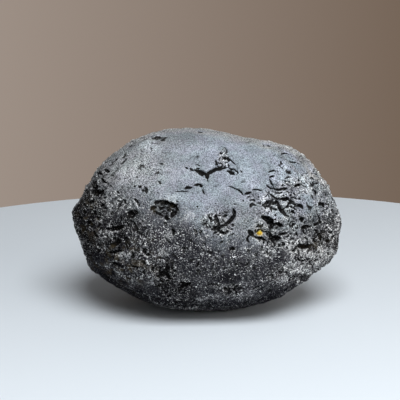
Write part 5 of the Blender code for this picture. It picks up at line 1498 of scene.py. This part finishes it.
def gritty_skin(glass, skin):
    """The skin with its fine dark and pale grit."""
    grainy = glass.fit(glass.stored("grainy"), 0.2, 1.0, 0.6, 1.0)
    share = glass.times(grainy, glass.fit(glass.stored("bloom_and_sheen"), 0.0, 0.6, 0.5, 1.0))
    return glass.mix(share, skin, glass.shaded(skin, glass.pattern("grit")))


def hollows(glass):
    """Share of darkened glass: pores, deeper hollows and whatever was cut, partly plain black glass and
    partly painted shade.
    """
    sunken = glass.larger(
        glass.fit(glass.stored("pore"), 0.02, 0.07),
        glass.fit(glass.stored("sunk"), 0.08, 0.3),
    )
    return glass.larger(sunken, glass.fit(glass.stored("bare_and_shaded"), 0.3, 0.9))


def glints(glass, more, sunken):
    """Bright specks, partly real grit and partly painted highlights, fewer where the top is pale and in the
    hollows.
    """
    bloom_and_sheen = glass.stored("bloom_and_sheen")
    gritty = glass.stored("gritty")
    dust_glint = glass.times(glass.flecks("dust_glint", more), glass.fit(bloom_and_sheen, 0.3, 0.9, 1.0, 0.4))
    chip_glints = glass.times(glass.flecks("chip_glint", more), glass.fit(bloom_and_sheen, 0.3, 0.9, 0.9, 0.3))
    swarm = glass.times(glass.pattern("swarm"), glass.stored("grainy"))
    glint_and_dust = glass.times(glass.larger(dust_glint, chip_glints), swarm)
    loose = glass.times(glass.flecks("fleck", glass.times(gritty, 0.07)), gritty)
    glint_and_dust = glass.times(glass.larger(glint_and_dust, loose), glass.fit(sunken, 0.0, 1.0, 1.0, 0.4))
    return glass.times(glint_and_dust, glass.fit(glass.stored("pale"), -1.0, -0.2, 0.9, 1.0))


def stained_skin(glass, sizes, skin):
    """The skin with brown earth left on it."""
    stain = glass.times(glass.stored("stained"), glass.pattern("stain"))
    return glass.mix(glass.times(stain, 0.5), skin, sizes.stain)


def black_glass(sizes):
    """Frosted black glass: plain glass and painted shade in the hollows, worn and painted highlights on the
    crests, a painted top sheen and painted highlights in its specks, stained low down.
    """
    glass = Finish("black_glass")
    bloom_and_sheen = glass.stored("bloom_and_sheen")
    pale = glass.stored("pale")
    more = more_flecks(glass)
    sunken = hollows(glass)
    glint_and_dust = glints(glass, more, sunken)
    skin = rubbed_and_lit_skin(glass, sizes, frosted_skin(glass, sizes), more)
    # Painted shade: the hollows are darkened towards plain black glass, partly its own colour and partly
    # painted shade.
    skin = glass.mix(sunken, gritty_skin(glass, skin), sizes.hollow_and_shade)
    specks = glass.times(glass.pattern("speck"), glass.stored("gritty"))
    skin = glass.mix(specks, skin, sizes.hollow_and_shade)
    # Painted highlights: the bright specks take the pale grey, 1.45 times brighter where the top sheen is
    # low.
    skin = glass.mix(glint_and_dust, skin, glass.shaded(sizes.wear_and_highlight, glass.fit(bloom_and_sheen, 0.0, 0.6, 1.45, 1.0)))
    glass.shade("Base Color", stained_skin(glass, sizes, skin))
    glass.shade("Roughness", glass.fit(glint_and_dust, 0.0, 1.0, 0.7, 0.35))
    glass.shade("IOR", glass.fit(pale, -1.0, 0.0, 1.3, 1.5))
    glass.shade("Specular IOR Level", glass.plus(glass.fit(pale, -1.0, 0.2, 0.0, 0.08), glint_and_dust))
    glass.shade("Normal", glass.bump(glass.noise(0.4, 2.0, 0.7), 0.35 * MM))
    return glass.material


# --- Yellow earth and the table top --------------------------------------------------------


def yellow_earth(sizes):
    """Golden earth, olive at the top, with a pale crust round the edge and underneath."""
    earth = Finish("yellow_earth")
    height = earth.stored("height")
    grains = earth.noise(0.45, 3.0)
    darker = tuple(EARTH_LOW * part for part in sizes.earth)
    colour = earth.mix(earth.fit(grains, 0.38, 0.6), darker, sizes.earth)
    colour = earth.mix(earth.fit(height, 0.1, 0.8), colour, OLIVE)
    crust = earth.plus(earth.plus(earth.stored("edge"), earth.times(height, -0.4)), grains)
    colour = earth.mix(earth.fit(crust, 1.15, 1.5), colour, sizes.crust)
    earth.shade("Base Color", colour)
    earth.shade("Roughness", 0.95)
    earth.shade("Normal", earth.bump(earth.noise(0.3), 0.12 * MM))
    return earth.material


def table_white(sizes):
    """Pale, dull table top."""
    finish = bpy.data.materials.new("floor")
    finish.use_nodes = True
    shader = finish.node_tree.nodes["Principled BSDF"]
    shader.inputs["Base Color"].default_value = (*sizes.floor, 1.0)
    shader.inputs["Roughness"].default_value = FLOOR_ROUGHNESS
    return finish


# --- Stone ---------------------------------------------------------------------------------


def store_zones(stone, points, normals, rough, grainy):
    """Keep on the mesh what the glass reads, and the weights of the lumps."""
    mesh = stone.data
    store(mesh, "grainy", grainy)
    store(mesh, "rough", rough)
    store(mesh, "bloom_and_sheen", bloom_and_sheen_share(points, normals))
    store(mesh, "gritty", gritty_share(points, normals))
    store(mesh, "stained", facing(normals) * spots(STAINED, points))
    add_group(stone, "crumpled", rough)
    add_group(stone, "lumpy", LUMPY_LEAST + LUMPY_MORE * ramp(grainy, *GRAINY_FADE))


def carve(stone, sizes, normals, rough, grainy):
    """Cut all the marks, and return how far each point is darkened, as plain glass and painted shade, and
    how far made pale, as worn edges and painted highlights.
    """
    rng = random.Random(SEED)
    carving = Carving(points_of(stone.data), normals)
    cut_face(carving, stone, sizes)
    cut_torn(carving, stone, rng)
    cut_crescents(carving, rough, CRESCENTS, rng)
    cut_pits(carving, PIT_LEAST + ramp(grainy, *PIT_FADE), PITS, rng)
    move_points(stone.data, carving.carved())
    return carving.bare_and_shaded, carving.rubbed_and_lit


def sunk_below(mesh, passes):
    """How far each point lies below the mean of its surroundings; more passes reach wider."""
    edges = np.empty(len(mesh.edges) * 2, np.int32)
    mesh.edges.foreach_get("vertices", edges)
    first, second = edges.reshape(-1, 2).T
    count = len(mesh.vertices)
    degree = np.bincount(first, minlength=count) + np.bincount(second, minlength=count)
    points = points_of(mesh)
    mean = points.copy()
    for _ in range(passes):
        for axis in range(3):
            values = mean[:, axis]
            total = np.bincount(first, values[second], count) + np.bincount(second, values[first], count)
            mean[:, axis] = (1 - MEAN_STEP) * values + MEAN_STEP * total / degree
    return ((mean - points) * normals_of(mesh)).sum(axis=1)


def shape_stone(sizes):
    """The stone in its final shape, with the attributes that its glass reads."""
    stone = add_blank()
    points = points_of(stone.data)
    normals = normals_of(stone.data)
    rough, grainy = zones(points, normals)
    pale = pale_share(points, normals)
    store_zones(stone, points, normals, rough, grainy)
    roughen(stone, cloud("lumps", LUMP_PITCH), sizes.lump_height * 2, group="lumpy")
    crumple = cloud("crumple", CRUMPLE_PITCH, hard=True)
    roughen(stone, crumple, sizes.crumple_height, CRUMPLE_MIDDLE, "crumpled")
    normals = normals_of(stone.data)
    etch(stone.data, normals, rough)
    bare_and_shaded, rubbed_and_lit = carve(stone, sizes, normals, rough, grainy)
    # The edges of the cuts and the ridges are painted pale: partly worn, partly painted highlights.
    store(stone.data, "pale", pale * (1 - rubbed_and_lit) + rubbed_and_lit)
    store(stone.data, "bare_and_shaded", bare_and_shaded)
    finish_stone(stone, sizes)
    return stone


def finish_stone(stone, sizes):
    """Thin the mesh, give it its grain and its flat foot, and find its pores and hollows."""
    ratio = STONE_TRIANGLES / len(stone.data.polygons)
    if ratio < 1:
        apply(stone, "DECIMATE", ratio=ratio)
    mesh = stone.data
    add_group(stone, "grained", stored(mesh, "grainy"))
    roughen(stone, cloud("grain", GRAIN_PITCH, 0), sizes.grain_height * 2, group="grained")
    points = points_of(mesh)
    points[:, 2] = np.maximum(points[:, 2], 0)
    move_points(mesh, points)
    store(mesh, "sunk", sunk_below(mesh, SUNK_PASSES) / MM)
    store(mesh, "pore", sunk_below(mesh, PORE_PASSES) / MM)
    mesh.shade_smooth()


class TEKTITE_OT_stone(bpy.types.Operator):
    """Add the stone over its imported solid"""

    bl_idname = "object.tektite_stone"
    bl_label = "Add Stone"

    def execute(self, context):
        sizes = context.scene.tektite_stone
        stone = shape_stone(sizes)
        stone.data.materials.append(black_glass(sizes))
        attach(stone, "root")
        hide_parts("tektite")
        return {"FINISHED"}


# --- Crumb of earth ------------------------------------------------------------------------


def chip_crumb(mesh):
    """Flatten the crumb on its broken sides, and note how near each point lies to its edge."""
    points = points_of(mesh)
    right, up, _ = face_axes()
    middle = points.mean(axis=0)
    half = np.abs((points - middle) @ up).max()
    for turn, share in CRUMB_SIDES:
        way = math.cos(math.radians(turn)) * right + math.sin(math.radians(turn)) * up
        over = np.maximum(0, (points - middle) @ way - share * half)
        points -= CRUMB_CHIP * over[:, None] * way
    move_points(mesh, points)
    offset = points - points.mean(axis=0)
    store(mesh, "edge", np.hypot(offset @ right, offset @ up) / half)
    store(mesh, "height", offset @ up / half)


class TEKTITE_OT_crumb(bpy.types.Operator):
    """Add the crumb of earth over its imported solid"""

    bl_idname = "object.tektite_crumb"
    bl_label = "Add Crumb of Earth"

    def execute(self, context):
        sizes = context.scene.tektite_crumb
        crumb = add_ball("crumb", "lodged_crumb", CRUMB_CUTS)
        roughen(crumb, cloud("earth lumps", EARTH_PITCH), sizes.lumpiness)
        chip_crumb(crumb.data)
        crumb.data.shade_smooth()
        crumb.data.materials.append(yellow_earth(sizes))
        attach(crumb, "root")
        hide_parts("lodged_crumb")
        return {"FINISHED"}


# --- Stage ---------------------------------------------------------------------------------


def add_floor(sizes):
    """Round table top under the stone."""
    bpy.ops.object.select_all(action="DESELECT")
    bpy.ops.mesh.primitive_cylinder_add(
        vertices=FLOOR_SIDES,
        radius=sizes.floor_radius,
        depth=FLOOR_THICKNESS,
        location=(*FLOOR_MIDDLE, -FLOOR_THICKNESS / 2),
    )
    floor = bpy.context.active_object
    floor.name = "floor"
    bpy.ops.object.shade_smooth_by_angle(angle=SHARP_EDGE)
    floor.data.materials.append(table_white(sizes))


def aim(thing, target):
    """Turn a light or a camera towards the target."""
    thing.rotation_euler = (Vector(target) - thing.location).to_track_quat("-Z", "Y").to_euler()


def add_light(name, place, target, size, power, colour):
    """Soft rectangular light."""
    bpy.ops.object.light_add(type="AREA", location=place)
    light = bpy.context.active_object
    light.name = name
    light.data.shape = "RECTANGLE"
    light.data.size, light.data.size_y = size
    light.data.energy = power
    light.data.color = colour
    aim(light, target)


def add_camera(scene):
    """Camera a little over the table, looking down at the stone."""
    bpy.ops.object.camera_add(location=CAMERA_PLACE)
    camera = bpy.context.active_object
    aim(camera, CAMERA_TARGET)
    camera.data.sensor_width = CAMERA_SENSOR
    camera.data.lens = CAMERA_LENS
    camera.data.clip_start = CAMERA_NEAR
    scene.camera = camera


def room():
    """Warm wall all round, lighter to the left, dim overhead and in front."""
    world = bpy.data.worlds.new("room")
    bpy.context.scene.world = world
    world.use_nodes = True
    world.node_tree.nodes.clear()
    air = Nodes(world.node_tree)
    way = air.add("SeparateXYZ")
    air.feed(way.inputs[0], air.add("TexCoord").outputs["Generated"])
    side = air.fit(way.outputs["X"], -WALL_EDGE, WALL_EDGE, smooth=False)
    wall = air.mix(side, WALL_LEFT, WALL_RIGHT)
    dim = air.fit(way.outputs["X"], -DIM_EDGE, DIM_EDGE, DIM_LEFT, DIM_RIGHT, smooth=False)
    back = air.fit(way.outputs["Y"], WALL_FRONT, WALL_BACK, smooth=False)
    sky = air.add("Background")
    air.feed(sky.inputs["Color"], air.mix(back, dim, wall))
    air.feed(air.add("OutputWorld").inputs["Surface"], sky.outputs[0])


class TEKTITE_OT_stage(bpy.types.Operator):
    """Set the table top, the soft light, the room and the camera"""

    bl_idname = "scene.tektite_stage"
    bl_label = "Set Stage"

    def execute(self, context):
        sizes = context.scene.tektite_stage
        add_floor(sizes)
        over = (*SOFT_LIGHT_PLACE, sizes.light_height)
        under = (*SOFT_LIGHT_PLACE, 0)
        add_light("soft light", over, under, SOFT_LIGHT_SIZE, sizes.light_power, SOFT_LIGHT_COLOUR)
        add_light("fill", FILL_PLACE, FACE_CENTRE, FILL_SIZE, sizes.fill_power, FILL_COLOUR)
        room()
        add_camera(context.scene)
        context.scene.view_settings.view_transform = "Standard"
        return {"FINISHED"}


# --- Panel ---------------------------------------------------------------------------------


class TEKTITE_PT_panel(bpy.types.Panel):
    """The tektite in the sidebar"""

    bl_idname = "VIEW3D_PT_tektite"
    bl_label = "Tektite"
    bl_space_type = "VIEW_3D"
    bl_region_type = "UI"
    bl_category = "Tektite"

    def draw(self, context):
        scene = context.scene
        parts = (
            (scene.tektite_stone, "object.tektite_stone"),
            (scene.tektite_crumb, "object.tektite_crumb"),
            (scene.tektite_stage, "scene.tektite_stage"),
        )
        for group, operator in parts:
            box = self.layout.box()
            for name in group.__annotations__:
                box.prop(group, name)
            box.operator(operator)


CLASSES = (
    TektiteStoneProperties,
    TektiteCrumbProperties,
    TektiteStageProperties,
    TEKTITE_OT_stone,
    TEKTITE_OT_crumb,
    TEKTITE_OT_stage,
    TEKTITE_PT_panel,
)


def register():
    for entry in CLASSES:
        bpy.utils.register_class(entry)
    scene = bpy.types.Scene
    scene.tektite_stone = bpy.props.PointerProperty(type=TektiteStoneProperties)
    scene.tektite_crumb = bpy.props.PointerProperty(type=TektiteCrumbProperties)
    scene.tektite_stage = bpy.props.PointerProperty(type=TektiteStageProperties)


def unregister():
    scene = bpy.types.Scene
    del scene.tektite_stage
    del scene.tektite_crumb
    del scene.tektite_stone
    for entry in reversed(CLASSES):
        bpy.utils.unregister_class(entry)


def main():
    register()
    bpy.ops.object.tektite_stone()
    bpy.ops.object.tektite_crumb()
    bpy.ops.scene.tektite_stage()


if __name__ == "__main__":
    main()
